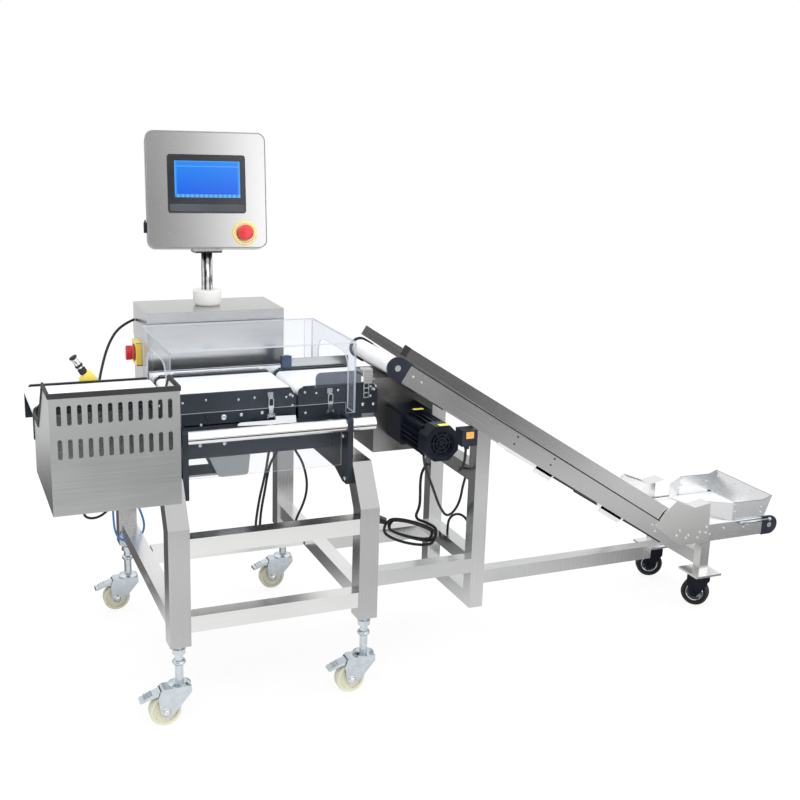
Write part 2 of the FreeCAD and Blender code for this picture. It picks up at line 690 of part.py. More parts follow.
def conveyor_frame(left, right, low, nose=None):
    first, last = conveyor_ends(left, right)
    pieces = []
    for row in (plate_front, plate_rear):
        outline = [(left, low), (right, low), (right, roller_z - 4), (last, size.side_top),
                   (first, size.side_top), (left, roller_z - 4)]
        plate = profile("XZ", outline, row)
        holes = [rod("y", shaft_radius + size.bore_gap, (row[0] - 1, row[1] + 1), x, roller_z)
                 for x in (first, last)]
        if nose is not None:
            holes = holes[:1] if nose == "right" else holes[1:]
        plate = cut(plate, *holes)
        pieces.append(plate)
    margin = size.roller_radius + 6
    bed_left, bed_right = first + margin, last - margin
    bed = [box((bed_left, bed_right), bed_row,
               (roller_z + loop_inner - 4, roller_z + loop_inner - size.running_gap))]
    bed.append(box((bed_left, bed_right), bed_row,
                   (roller_z - loop_inner + size.running_gap, roller_z - loop_inner + 3)))
    for x in (bed_left + 20, bed_right - 30):
        bed.append(box(span(x, x + 10), bed_row,
                       (roller_z - loop_inner + 3, roller_z + loop_inner - 4)))
    if nose is not None:
        x = last if nose == "right" else first
        edge = (last - margin - 1, last) if nose == "right" else (first, first + margin + 1)
        bed.append(rod("y", size.roller_radius, bed_row, x, roller_z))
        bed.append(box(edge, bed_row, (roller_z - 4, roller_z + loop_inner - size.running_gap)))
    pieces.append(fuse(*bed))
    deck = box((left + 20, right - 20), bed_row, (low, low + 4))
    pieces.append(deck)
    return pieces


def belt_loop(left, right):
    first, last = conveyor_ends(left, right)

    def stadium(radius, row):
        middle = box((first, last), row, (roller_z - radius, roller_z + radius))
        return fuse(middle, rod("y", radius, row, first, roller_z),
                    rod("y", radius, row, last, roller_z))

    wide = (belt_row[0] - 1, belt_row[1] + 1)
    return cut(stadium(loop_outer, belt_row), stadium(loop_inner, wide))


def end_roller(label, x, height, radius, half, shaft, shaft_half):
    """A roller along Y with a shaft at both ends."""
    points = [(0, -shaft_half), (shaft, -shaft_half), (shaft, -half), (radius, -half),
              (radius, half), (shaft, half), (shaft, shaft_half), (0, shaft_half)]
    node(label, turned(points, "y", x, size.flow_centre, height))


def conveyors():
    weigh = (size.weigh_left, size.weigh_right)
    infeed = (size.infeed_left, size.infeed_right)
    outfeed = (size.outfeed_left, size.outfeed_right)
    low = size.beam_top + size.running_gap
    node("weigh_frame", *conveyor_frame(*weigh, size.side_bottom))
    node("transfer_frames", *conveyor_frame(*infeed, low, "left"),
         *conveyor_frame(*outfeed, low, "right"))
    node("conveyor_belts", *[belt_loop(*ends) for ends in (weigh, infeed, outfeed)])
    half = size.belt_width / 2 + 2
    shaft_half = half_bed + size.side_plate
    weigh_ends = conveyor_ends(*weigh)
    rollers = (
        ("weigh_drive_roller", weigh_ends[0]), ("weigh_idle_roller", weigh_ends[1]),
        ("infeed_roller", conveyor_ends(*infeed)[1]), ("outfeed_roller", conveyor_ends(*outfeed)[0]),
    )
    for label, x in rollers:
        end_roller(label, x, roller_z, size.roller_radius, half, shaft_radius, shaft_half)


def conveyor_motors():
    """Drum motors that hang between the side plates and drive the belts from below."""
    drums = []
    for x in (size.weigh_left + 45, size.infeed_right - 60, size.outfeed_left + 60):
        drums.append(rod("y", size.motor_drum_radius, bed_row, x, size.motor_drum_height))
    node("conveyor_motors", *drums)


# Toggle latches that clamp the decks: a base on the front plate and a lever that swings down.
def latches():
    front = plate_front[0]
    for name, x in (("left", size.latch_weigh_x), ("right", size.latch_infeed_x)):
        half = size.latch_width / 2
        outline = [
            (front - 8, size.latch_z - 3.5), (front - 2.5, size.latch_z - 3.5),
            (front - 2.5, size.latch_z + size.latch_height * 0.6),
            (front - 4, size.latch_z + size.latch_height),
            (front - 9, size.latch_z + size.latch_height), (front - 8, size.latch_z + 20)]
        lever = profile("YZ", outline, (x - half, x + half))
        bore = rod("x", 2 + size.bore_gap, (x - half - 1, x + half + 1), front - 5, size.latch_z)
        node(f"latch_lever_{name}", cut(lever, bore))


def latch_bases():
    front = plate_front[0]
    bases = []
    for x in (size.latch_weigh_x, size.latch_infeed_x):
        half = size.latch_width / 2
        cheeks = [box((x + low, x + high), (front - 9, front), span(size.latch_z - 6, size.latch_z + 6))
                  for low, high in ((-half - 3, -half - 0.5), (half + 0.5, half + 3))]
        hook = box((x - half, x + half), (front - 2, front),
                   span(size.latch_z + size.latch_height - 2, size.latch_z + size.latch_height + 12))
        pin = rod("x", 2, (x - half - 3, x + half + 3), front - 5, size.latch_z)
        bases.append(fuse(*cheeks, pin))
        bases.append(hook)
    return bases


def guide_plates():
    rear = plate_rear[1]
    strip = box(span(size.guide_left, size.guide_right),
                (rear + 6, rear + 6 + size.guide_thickness),
                span(size.guide_bottom, size.guide_bottom + size.guide_height))
    clamp = profile("XY", [
        (size.guide_left - 22, rear), (size.guide_left + 4, rear), (size.guide_left + 4, rear + 6),
        (size.guide_left, rear + 6), (size.guide_left, rear + 16), (size.guide_left - 22, rear + 16)],
        span(size.guide_bottom - 14, size.guide_bottom + size.guide_height + 8))
    front = plate_front[0]
    low = size.side_top - 30
    sheet_points = [(size.guide_left, low), (size.front_guide_right, low),
                    (size.front_guide_right, size.front_guide_top),
                    (size.guide_left, size.front_guide_top)]
    front_guide = profile("XZ", sheet_points, (front - size.guide_thickness, front), [([2, 3], 12)])
    sensor_x = size.front_guide_right + 6
    arm = profile("YZ", [
        (front - 4, size.side_top - 40), (front, size.side_top - 40), (front, size.side_top + 30),
        (front + 26, size.side_top + 30), (front + 26, size.side_top + 34),
        (front - 4, size.side_top + 34)], span(sensor_x, sensor_x + 24))
    node("guide_plates", strip, clamp, front_guide, arm, *latch_bases())


# Clear cover over the weighing deck: top, front and arched side panels on four legs.
def acrylic_cover():
    wall = size.cover_wall
    left, right = size.cover_left, size.cover_right
    front, rear = size.cover_front, size.cover_rear
    foot = size.bracket_top + size.running_gap
    top = box(span(left, right), span(front, rear), span(size.cover_top - wall, size.cover_top))
    lip = size.cover_leg / 2
    panel = [
        (left, foot), (left + lip, foot), (left + lip, size.cover_panel_bottom),
        (right - lip, size.cover_panel_bottom), (right - lip, foot), (right, foot),
        (right, size.cover_top), (left, size.cover_top)]
    front_panel = profile("XZ", panel, span(front, front + wall), [([2, 3], 12)])
    low = size.cover_top - 40
    arch = [
        (front, foot), (front + size.cover_leg, foot), (front + size.cover_leg, low - 42),
        (front + size.cover_leg + 40, low), (rear - size.cover_leg - 40, low),
        (rear - size.cover_leg, low - 42), (rear - size.cover_leg, foot), (rear, foot),
        (rear, size.cover_top), (front, size.cover_top)]
    sides = [profile("YZ", arch, across) for across in
             (span(left, left + wall), span(right - wall, right))]
    rear_strips = [box(across, span(rear - wall, rear), (foot, size.cover_top))
                   for across in (span(left, left + lip), span(right - lip, right))]
    node("acrylic_cover", fuse(top, front_panel, *sides, *rear_strips))


# Electrical cabinet with its rear door, main switch, column and display.
def cabinet():
    wall = size.cabinet_wall
    outer = box(span(size.cabinet_left, size.cabinet_right),
                span(size.cabinet_front, size.cabinet_rear),
                span(size.deck_height, size.cabinet_top))
    inner = box(span(size.cabinet_left + wall, size.cabinet_right - wall),
                span(size.cabinet_front + wall, size.cabinet_rear + 1),
                span(size.deck_height + wall, size.cabinet_top - wall))
    shell = cut(outer, inner)
    half = size.switch_plate / 2
    backplate = box(span(size.cabinet_left - size.switch_depth, size.cabinet_left),
                    span(size.switch_y - half, size.switch_y + half),
                    span(size.switch_z - half, size.switch_z + half))
    spindle_hole = rod("x", 5 + size.bore_gap,
                       span(size.cabinet_left - size.switch_depth - 1, size.cabinet_left),
                       size.switch_y, size.switch_z)
    gear_plate = box(span(size.cabinet_left + 30, size.cabinet_right - 30),
                     span(size.cabinet_front + 16, size.cabinet_front + 18),
                     span(size.deck_height + wall, size.cabinet_top - 40))
    modules = []
    for number in range(3):
        x = size.cabinet_left + 50 + 90 * number
        modules.append(box(span(x, x + 70), span(size.cabinet_front + 18, size.cabinet_front + 98),
                           span(size.deck_height + 130, size.deck_height + 250)))
    gap = size.running_gap
    radius = size.hinge_radius
    axis_x = size.cabinet_left + radius
    axis_y = size.cabinet_rear + gap + 2 + radius + gap
    fixed, swung = [], []
    for low in (size.deck_height + 50, size.cabinet_top - 90):
        middle = low + size.hinge_knuckle
        high = middle + gap + size.hinge_knuckle
        fixed += [rod("z", radius, span(low, middle), axis_x, axis_y),
                  rod("z", 2, span(low, high - 3), axis_x, axis_y),
                  box(span(size.cabinet_left, axis_x - gap), span(size.cabinet_rear - 1, axis_y),
                      span(low, middle))]
        knuckle = cut(rod("z", radius, span(middle + gap, high), axis_x, axis_y),
                      rod("z", 2 + size.bore_gap, span(middle, high + 1), axis_x, axis_y))
        swung += [knuckle, box(span(axis_x + 2 + gap, axis_x + 6),
                               span(size.cabinet_rear + gap + 1, axis_y), span(middle + gap, high))]
    node("cabinet_shell", fuse(shell, *fixed), cut(backplate, spindle_hole), gear_plate, *modules)
    door = box(span(axis_x, size.cabinet_right),
               span(size.cabinet_rear + gap, size.cabinet_rear + gap + 2),
               span(size.deck_height + gap, size.cabinet_top))
    lock = rod("y", 9, span(size.cabinet_rear + gap + 2, size.cabinet_rear + gap + 8),
               size.cabinet_right - 25, (size.deck_height + size.cabinet_top) / 2)
    node("cabinet_door", fuse(door, lock, *swung))


def switch_knob():
    face = size.cabinet_left - size.switch_depth - size.running_gap
    skirt = rod("x", size.knob_radius, (face - 8, face), size.switch_y, size.switch_z)
    grip = box((face - size.knob_length, face - 8),
               span(size.switch_y - 5, size.switch_y + 5),
               span(size.switch_z - size.knob_radius, size.switch_z + size.knob_radius))
    spindle = rod("x", 5, (face, face + size.switch_depth - 4), size.switch_y, size.switch_z)
    node("switch_knob", fuse(skirt, grip, spindle))


tilt = FreeCAD.Rotation(FreeCAD.Vector(1, 0, 0), size.display_tilt.value)
turn = FreeCAD.Rotation(FreeCAD.Vector(0, 0, 1), size.display_turn.value)
display_pose = turn.multiply(tilt)


def display_point(x, y, z):
    """A point of the display, given across, back and up from the middle of its front face."""
    away = display_pose.multVec(FreeCAD.Vector(x, y, z))
    centre = display_pose.multVec(FreeCAD.Vector(0, size.display_depth.value / 2, 0))
    return (size.column_x + away.x - centre.x, size.column_y + away.y - centre.y,
            size.display_z + away.z)


def display():
    plate_low = size.display_z - size.display_height / 2 - 14
    collar = turned([(0, 0), (size.collar_foot_radius, 0), (size.collar_radius, 10),
                     (size.collar_radius, size.collar_height), (0, size.collar_height)],
                    "z", size.column_x, size.column_y, size.cabinet_top)
    collar_bore = rod("z", size.column_radius + size.bore_gap,
                      span(size.cabinet_top - 1, size.cabinet_top + size.collar_height + 1),
                      size.column_x, size.column_y)
    tube_top = plate_low + 4.8
    tube = rod("z", size.column_radius, span(size.cabinet_top, tube_top),
               size.column_x, size.column_y)
    node("display_column", cut(collar, collar_bore), tube)
    half_x, half_z = size.display_width / 2, size.display_height / 2
    corners = [(-half_x, -half_z), (half_x, -half_z), (half_x, half_z), (-half_x, half_z)]
    body = new_body(0, 0, 0, display_pose)
    place(body, *display_point(0, 0, 0))
    shell = pad(body, "XZ", span(0, size.display_depth), draw_polygon, corners)
    round_corners(body, shell, "XZ", corners, size.display_corner)
    stem_bore = size.estop_stem_radius + size.bore_gap
    pocket(body, "XZ", span(-1, 16), draw_circle, size.estop_x, size.estop_z, stem_bore)
    bezel = new_body(0, 0, 0, display_pose)
    place(bezel, *display_point(0, 0, 0))
    bezel_x = size.bezel_width / 2
    bezel_low = size.bezel_rise - size.bezel_height / 2
    bezel_high = size.bezel_rise + size.bezel_height / 2
    frame = [(-bezel_x, bezel_low), (bezel_x, bezel_low), (bezel_x, bezel_high),
             (-bezel_x, bezel_high)]
    face = pad(bezel, "XZ", span(-size.bezel_thickness, 0), draw_polygon, frame)
    round_corners(bezel, face, "XZ", frame, 4)
    ring = new_body(0, 0, 0, display_pose)
    place(ring, *display_point(0, 0, 0))
    pad(ring, "XZ", span(-4, 0), draw_circle, size.estop_x, size.estop_z, size.estop_ring_radius)
    pocket(ring, "XZ", span(-5, 1), draw_circle, size.estop_x, size.estop_z, stem_bore)
    swivel = box(around(size.column_x, 74), around(size.column_y, 44),
                 span(plate_low, plate_low + 24))
    spigot_bore = rod("z", size.column_radius + size.bore_gap,
                      span(plate_low - 1, tube_top + size.running_gap),
                      size.column_x, size.column_y)
    saddle = cut(swivel, shell_tool(), spigot_bore)
    node("display_head", body, bezel, ring, saddle)


def shell_tool():
    """The display's own space, cut out of the swivel plate below it."""
    half_x, half_z = size.display_width / 2, size.display_height / 2
    tool = new_body(0, 0, 0, display_pose)
    place(tool, *display_point(0, 0, 0))
    pad(tool, "XZ", span(0, size.display_depth), draw_polygon,
        [(-half_x, -half_z), (half_x, -half_z), (half_x, half_z), (-half_x, half_z)])
    return tool


def estop_button():
    stem = size.estop_stem_radius
    points = [(0, -12), (stem, -12), (stem, 6), (size.estop_radius - 2, 8), (size.estop_radius, 12),
              (size.estop_radius, 20), (size.estop_radius - 6, 24), (0, 25)]
    forward = display_pose.multiply(FreeCAD.Rotation(FreeCAD.Vector(1, 0, 0), 90))
    body = new_body(0, 0, 0, forward)
    place(body, *display_point(size.estop_x.value, -4, size.estop_z.value))
    sketch = sketch_on(body, "XZ", 0)
    draw_polygon(sketch, points)
    spin = body.newObject("PartDesign::Revolution", "Turned")
    spin.Profile = sketch
    spin.ReferenceAxis = (sketch, ["V_Axis"])
    spin.Angle = 360
    node("estop_button", body)


# Reject bin: folded sheet with two rows of slots in its front.
def reject_bin():
    wall = size.bin_wall
    low, high = size.bin_bottom, size.bin_top
    front, back = size.bin_front, size.bin_back
    crest = front + size.bin_top_depth
    drop = high - size.bin_back_top
    side = [(front, low), (back, low), (back, size.bin_back_top), (crest + drop, size.bin_back_top),
            (crest, high), (front, high)]
    hollow = [(front + wall, low + wall), (back - wall, low + wall),
              (back - wall, high + 10), (front + wall, high + 10)]
    body = new_body()
    pad(body, "YZ", span(size.bin_left, size.bin_right), draw_polygon, side)
    pocket(body, "YZ", span(size.bin_left + wall, size.bin_right - wall), draw_polygon, hollow)
    doc.recompute()
    rows = []
    for depth in (size.slot_upper, size.slot_lower):
        slot = pocket(body, "XZ", span(front - 1, front + wall + 1), draw_slot,
                      size.bin_left + size.slot_first - 9, high - depth, size.slot_length,
                      size.slot_width)
        rows.append(slot)
        doc.recompute()
        pattern = body.newObject("PartDesign::LinearPattern", "Row")
        pattern.Originals = [slot]
        pattern.Direction = (slot.Profile[0], ["H_Axis"])
        bind(pattern, "Length", size.slot_pitch * (size.slot_count - 1))
        bind(pattern, "Occurrences", size.slot_count)
        body.Tip = pattern
        doc.recompute()
    node("reject_bin", body)


def air_nozzle():
    """Blow-off nozzle behind the outfeed belt: block, bracket and a leaning knurled barrel."""
    rear = plate_rear[1]
    x = size.nozzle_x
    block = box(span(x - 12, x + 22), (rear, rear + 26), span(735, 762))
    bracket = profile("XZ", [(x - 18, 762), (x + 22, 762), (x + 24, 768), (x + 8, 788),
                             (x - 4, 792), (x - 12, 778), (x - 22, 770)],
                      (rear + 6, rear + 20))
    lean = FreeCAD.Rotation(FreeCAD.Vector(0, 1, 0), size.nozzle_lean.value)
    r, length = size.nozzle_radius, size.nozzle_length
    barrel = turned([
        (0, 0), (r + 2, 0), (r + 2, 14), (r, 14), (r, 20), (r + 2, 20), (r + 2, 26), (r, 26),
        (r, length - 5), (r + 2, length - 5), (r + 2, length), (0, length)],
        "z", x - 8, rear + 12, 784, lean)
    node("air_nozzle", block, fuse(bracket, barrel))


# Inclined feeder: side plates with guards, knee covers, belt, rollers, caps and hopper.
PLATE_ROWS = (span(feeder_front, feeder_front + size.feeder_plate),
              span(feeder_rear - size.feeder_plate, feeder_rear))
guard_front = feeder_front + size.feeder_plate + size.running_gap
guard_rear = feeder_rear - size.feeder_plate - size.running_gap
GUARD_ROWS = (span(guard_front, guard_front + 2.5), span(guard_rear - 2.5, guard_rear))


def feeder_sides():
    upper = offset_line(size.feeder_half)
    lower = offset_line(-size.feeder_half)
    pieces = [profile("XZ", upper + lower[::-1], row) for row in PLATE_ROWS]
    along_x, along_z = cosine(incline), sine(incline)
    reach_x, reach_z = size.guard_reach * along_x, size.guard_reach * along_z
    half = size.feeder_half
    low_head = offset_line(half + size.guard_head_low)[0]
    high_head = offset_line(half + size.guard_head_high)[0]
    low_knee = offset_line(half + size.guard_knee_low)[1]
    high_knee = offset_line(half + size.guard_knee_high)[1]
    end = 30
    outline = [
        (low_head[0] - reach_x, low_head[1] + reach_z),
        (low_knee[0] - end, low_knee[1] + end * slope),
        (high_knee[0] - end - 6, high_knee[1] + (end + 6) * slope),
        (high_head[0] - reach_x, high_head[1] + reach_z),
    ]
    pieces += [profile("XZ", outline, row) for row in GUARD_ROWS]
    node("feeder_sides", *pieces)


def knee_covers():
    pieces = []
    low = size.feeder_height - size.feeder_half - 2
    peak = [(size.knee_x + 4, low + 143), (size.knee_x + 72, low + 116),
            (size.knee_x + 127, low + 125)]
    base = size.feeder_height - size.feeder_half + size.running_gap
    outline = [(size.knee_x + 30, base), (size.knee_x + 133, base), peak[2], peak[1], peak[0],
               (size.knee_x - 33, low + 112), (size.knee_x - 63, low + 73)]
    band = [peak[0], peak[1], peak[2], (peak[2][0], peak[2][1] - 2.5),
            (peak[1][0], peak[1][1] - 2.5), (peak[0][0], peak[0][1] - 2.5)]
    rows = (
        ((feeder_front - 3, feeder_front), (feeder_front - 3, feeder_front + size.cover_flange)),
        ((feeder_rear, feeder_rear + 3), (feeder_rear - size.cover_flange, feeder_rear + 3)),
    )
    for plate_row, flange_row in rows:
        pieces.append(fuse(profile("XZ", outline, plate_row), profile("XZ", band, flange_row)))
    node("knee_covers", *pieces)


head_roller_x = head_end_x - size.cap_reach * cosine(incline)
head_roller_z = head_end_z + size.cap_reach * sine(incline)
tail_roller_x = flat_right + size.cap_reach


def feeder_belt():
    row = around(size.flow_centre, size.feeder_belt_width)
    wide = (row[0] - 1, row[1] + 1)

    def loop(half, across):
        upper, lower = offset_line(half), offset_line(-half)
        head_up = (head_roller_x + half * sine(incline), head_roller_z + half * cosine(incline))
        head_down = (head_roller_x - half * sine(incline), head_roller_z - half * cosine(incline))
        outline = [head_up, upper[1], (tail_roller_x, upper[2][1]), (tail_roller_x, lower[2][1]),
                   lower[1], head_down]
        return fuse(profile("XZ", outline, across),
                    rod("y", half, across, head_roller_x, head_roller_z),
                    rod("y", half, across, tail_roller_x, size.feeder_height))

    node("feeder_belt", cut(loop(size.feeder_belt_half, row),
                            loop(size.feeder_roller + size.running_gap, wide)))


def feeder_rollers():
    half = size.feeder_belt_width / 2
    shaft_half = size.feeder_width / 2
    for label, x, z in (("feeder_head_roller", head_roller_x, head_roller_z),
                        ("feeder_tail_roller", tail_roller_x, size.feeder_height)):
        end_roller(label, x, z, size.feeder_roller, half, 8, shaft_half)


def roller_caps():
    caps = []
    rows = (span(feeder_front, feeder_front + size.cap_thickness),
            span(feeder_rear - size.cap_thickness, feeder_rear))
    half = size.cap_half
    dx, dz = half * sine(incline), half * cosine(incline)
    gap = size.running_gap
    near_x = head_end_x - gap * cosine(incline)
    near_z = head_end_z + gap * sine(incline)
    head = [(near_x + dx, near_z + dz), (near_x - dx, near_z - dz),
            (head_roller_x - dx, head_roller_z - dz), (head_roller_x + dx, head_roller_z + dz)]
    level = size.feeder_height
    tail = [(flat_right + gap, level - half), (tail_roller_x, level - half),
            (tail_roller_x, level + half), (flat_right + gap, level + half)]
    for row in rows:
        wide = (row[0] - 1, row[1] + 1)
        for points, x, z in ((head, head_roller_x, head_roller_z), (tail, tail_roller_x, level)):
            blank = fuse(profile("XZ", points, row), rod("y", half, row, x, z))
            caps.append(cut(blank, rod("y", 8 + size.bore_gap, wide, x, z)))
    node("roller_caps", *caps)


def hopper():
    """Folded walls round the loading end and the two funnel plates that lead to the incline."""
    low = size.feeder_height + size.hopper_low
    high = size.feeder_height + size.feeder_half + size.hopper_high
    right = flat_right + 4
    tip = right + size.hopper_flare
    step = size.feeder_height + size.cap_half + size.running_gap
    wall = [(size.hopper_left, low), (flat_right, low), (flat_right, step), (right, step),
            (tip, high + 8), (right - 4, high - 2), (size.hopper_left, high)]
    walls = [profile("XZ", wall, row) for row in GUARD_ROWS]
    foot = size.feeder_height + size.feeder_half
    end = [(right, step), (right + 2.5, step), (tip + 2.5, high + 8), (tip, high + 8)]
    walls.append(profile("XZ", end, (GUARD_ROWS[0][0], GUARD_ROWS[1][1])))
    tray = fuse(*walls)
    funnels = []
    over_belt = foot + 2
    for edge, inward in ((GUARD_ROWS[0][0], 1), (GUARD_ROWS[1][1], -1)):
        inset = inward * size.funnel_inset
        sheet = inward * 2.5
        path = [(size.hopper_left - 0.3, edge), (size.hopper_left - 0.3, edge + sheet),
                (size.funnel_left, edge + inset + sheet), (size.funnel_left, edge + inset)]
        funnels.append(profile("XY", path, (over_belt, high)))
    node("hopper", tray, *funnels)


# Feeder drive: sheet metal box under the head, gearbox, finned motor and its fan cowl.
def drive_box():
    top = -size.feeder_half - 1
    left, right = size.box_left, size.box_right
    knee = head_end_x + top * sine(incline)
    crown = incline_height(knee, top)
    outline = [(left, size.box_bottom), (right, size.box_bottom), (right, incline_height(right, top)),
               (knee, crown), (left, crown)]
    housing = profile("XZ", outline, span(size.box_front, size.box_rear))
    saddle = [(knee + 40, incline_height(knee + 40, top)),
              (right, incline_height(right, top)),
              (right, incline_height(right, top) - 4),
              (knee + 40, incline_height(knee + 40, top) - 4)]
    node("drive_box", fuse(housing, profile("XZ", saddle, span(PLATE_ROWS[0][0], PLATE_ROWS[1][1]))))


def gearmotor():
    half = size.gearbox_size / 2
    gearbox_front = size.box_front - size.gearbox_depth
    left, right = size.motor_x - half, size.motor_x + half
    low, high = size.motor_z - half, size.motor_z + half
    case_points = [(left, low), (right, low), (right, high), (left, high)]
    case = profile("XZ", case_points, span(gearbox_front, size.box_front), [([0, 1, 2, 3], 8)])
    stator_front = gearbox_front - size.motor_length
    along = span(stator_front - 1, gearbox_front + 1)
    core = rod("y", size.stator_core, along, size.motor_x, size.motor_z)
    fins = []
    for number in range(int(size.fin_count.value)):
        fins.append(turn_about_motor((size.stator_core - 2, size.motor_radius - 1), along,
                                     (-1.5, 1.5), 360 / size.fin_count.value * number))
    bolt = size.motor_radius * 0.72
    bosses = [rod("y", 5, along, size.motor_x + i * bolt, size.motor_z + k * bolt)
              for i in (-1, 1) for k in (-1, 1)]
    gland = rod("z", 8, span(597.9, size.motor_z - size.stator_core + 2), size.motor_x, 60)
    node("gearmotor", fuse(case, core, gland, *fins, *bosses, fan_cowl(stator_front)))


def fan_cowl(rear):
    """The eight-sided cowl over the fan, with a round grille of ring slots between spokes."""
    half = size.motor_radius
    bevel = half * 0.45
    front = rear - size.cowl_length
    corners = [(half, bevel), (bevel, half), (-bevel, half), (-half, bevel),
               (-half, -bevel), (-bevel, -half), (bevel, -half), (half, -bevel)]
    outline = [(size.motor_x + a, size.motor_z + b) for a, b in corners]
    shell = profile("XZ", outline, span(front, rear), [(range(8), 6)])
    dish = rod("y", size.grille_radius + 4, span(front - 1, front + 3), size.motor_x, size.motor_z)
    slots = []
    for number in range(3):
        radius = size.grille_radius - 9 * number
        slots.append(cut(rod("y", radius, span(front + 2, front + 8), size.motor_x, size.motor_z),
                         rod("y", radius - 5, span(front + 1, front + 9),
                             size.motor_x, size.motor_z)))
    spokes = [turn_about_motor((-size.grille_radius - 1, size.grille_radius + 1),
                               span(front + 1, front + 9), (-2, 2), 60 * number)
              for number in range(3)]
    return cut(shell, dish, cut(group(*slots), *spokes))


def turn_about_motor(x, y, z, angle):
    """A block placed from the motor's axis in x and z, and turned round that axis."""
    block = box(x, y, z)
    spin = FreeCAD.Rotation(FreeCAD.Vector(0, -1, 0), angle)
    corner = FreeCAD.Vector(as_size(x[0]).value, 0, as_size(z[0]).value)
    moved = spin.multVec(corner)
    block.Placement = FreeCAD.Placement(FreeCAD.Vector(), spin)
    return place(block, size.motor_x + moved.x, y[0], size.motor_z + moved.z)


def junction_box():
    row = around(size.post_front + size.rail_width / 2, 42)
    body = box((size.post_left - 44, size.post_left), row, span(591, 634))
    gland = rod("z", 7, span(579, 591), size.post_left - 20, size.post_front + size.rail_width / 2)
    node("junction_box", fuse(body, gland))


# Cords and tubes that the machine holds.
def cord(route, radius):
    """A round cord along straight runs joined by arcs that touch them."""
    points = [FreeCAD.Vector(x + size.frame_left.value, y + size.frame_front.value, z)
              for x, y, z in route]
    edges = []
    start = points[0]
    radii = []
    for before, corner, after in zip(points, points[1:], points[2:]):
        inward = (corner - before).normalize()
        outward = (after - corner).normalize()
        half_turn = inward.getAngle(outward) / 2
        shorter = min((corner - before).Length, (after - corner).Length)
        reach = 0.45 * shorter
        bend = reach / math.tan(half_turn)
        radii.append(bend)
        first = corner - inward * reach
        last = corner + outward * reach
        bisector = (outward - inward).normalize()
        middle = corner + bisector * (bend / math.cos(half_turn) - bend)
        edges.append(Part.LineSegment(start, first).toShape())
        edges.append(Part.Arc(first, middle, last).toShape())
        start = last
    edges.append(Part.LineSegment(start, points[-1]).toShape())
    path = Part.Wire(edges)
    heading = (points[1] - points[0]).normalize()
    section = Part.Wire([Part.Circle(points[0], heading, radius.value).toShape()])
    shape = path.makePipeShell([section], True, False)
    expected = math.pi * radius.value ** 2 * path.Length
    print(f"cord {path.Length:.0f} mm, tightest arc {min(radii):.0f} mm, "
          f"volume ratio {shape.Volume / expected:.4f}")
    solid = doc.addObject("Part::Feature", "Cord")
    solid.Shape = shape
    return solid


# Each route runs from one held end to the other: x, y from the frame's corner, z from the floor.
SENSOR_CABLE = [(46.8, 616.7, 867.5), (5, 592, 858), (-35, 547, 818), (-66, 482, 758),
                (-82, 425, 722), (-86, 390, 692), (-86, 370.1, 667.3)]
MOTOR_CABLE = [(658.9, 61.5, 595.4), (672, 84, 562), (700, 115, 518), (732, 150, 468),
               (763, 185, 417), (787, 211, 385), (812, 232, 356), (836, 247, 352),
               (858, 258, 366), (870, 261, 391), (869, 250, 428), (862, 225, 458),
               (856.5, 207.6, 481.5)]
CELL_CABLE = [(341.9, 320.5, 604.3), (341, 333, 574), (345, 362, 540), (354, 403, 505),
              (358, 430, 470), (354, 443, 430), (347, 450, 391), (341, 453, 350),
              (337, 458, 310), (337, 460, 274.8)]
DECK_CABLE = [(414.6, 469.7, 552.4), (408, 464, 530), (392, 455, 505), (374, 448, 480),
              (366, 446, 445), (361, 450, 405), (355, 455, 365), (350, 459, 320),
              (349, 461, 274.8)]
CABINET_CABLE = [(440.4, 480.4, 552.4), (448, 488, 525), (464, 497, 497), (483, 500, 467),
                 (494, 497, 432), (497, 489, 398), (491, 482, 365), (477, 475, 335),
                 (459, 468, 308), (446.6, 461.3, 276.2)]
NOZZLE_CABLE = [(-110, 363, 639.7), (-110, 366, 602), (-114, 385, 545), (-118, 430, 470),
                (-118, 500, 400), (-112, 565, 348), (-92, 608, 320), (-62, 635, 311),
                (-32, 663, 318), (-3, 692.3, 336.3)]
AIR_TUBE = [(14, 606, 543.3), (12, 610, 500), (2, 625, 440), (-13, 645, 380), (-20, 654, 325),
            (-19, 656, 290), (-17, 656, 262), (-9, 656, 237), (12, 655, 222), (38, 655, 222),
            (59, 655, 237), (67, 655, 262), (62, 653, 292), (50, 650, 325), (40, 642, 375),
            (34, 628, 430), (34, 614, 490), (34, 608, 543.3)]
JUNCTION_CABLE = [(811, 128, 578.7), (811, 129, 556), (811, 136, 532), (812, 152, 513),
                  (815.5, 171, 505.5), (823, 186, 504), (829.9, 195, 504)]
LOOP_CABLE = [(853, 300, 280.3), (853, 300, 300), (852, 290, 322), (855, 270, 341),
              (862, 248, 350), (868, 225, 348), (870, 206, 337), (869, 193, 318),
              (867, 186, 300), (867, 186, 280.3)]
POWER_CORD = [(829.9, 403.2, 452.4), (812, 398, 436), (803, 388, 404), (799, 376, 370),
              (792, 361, 340), (780, 340.2, 314.84)]


def cables():
    machine = (SENSOR_CABLE, MOTOR_CABLE, CELL_CABLE, DECK_CABLE, CABINET_CABLE, NOZZLE_CABLE,
               JUNCTION_CABLE, LOOP_CABLE)
    tubes = [cord(route, size.cord_radius) for route in machine]
    tubes.append(cord(AIR_TUBE, size.air_tube_radius))
    node("machine_cables", *tubes)
    node("power_cord", cord(POWER_CORD, size.power_cord_radius))


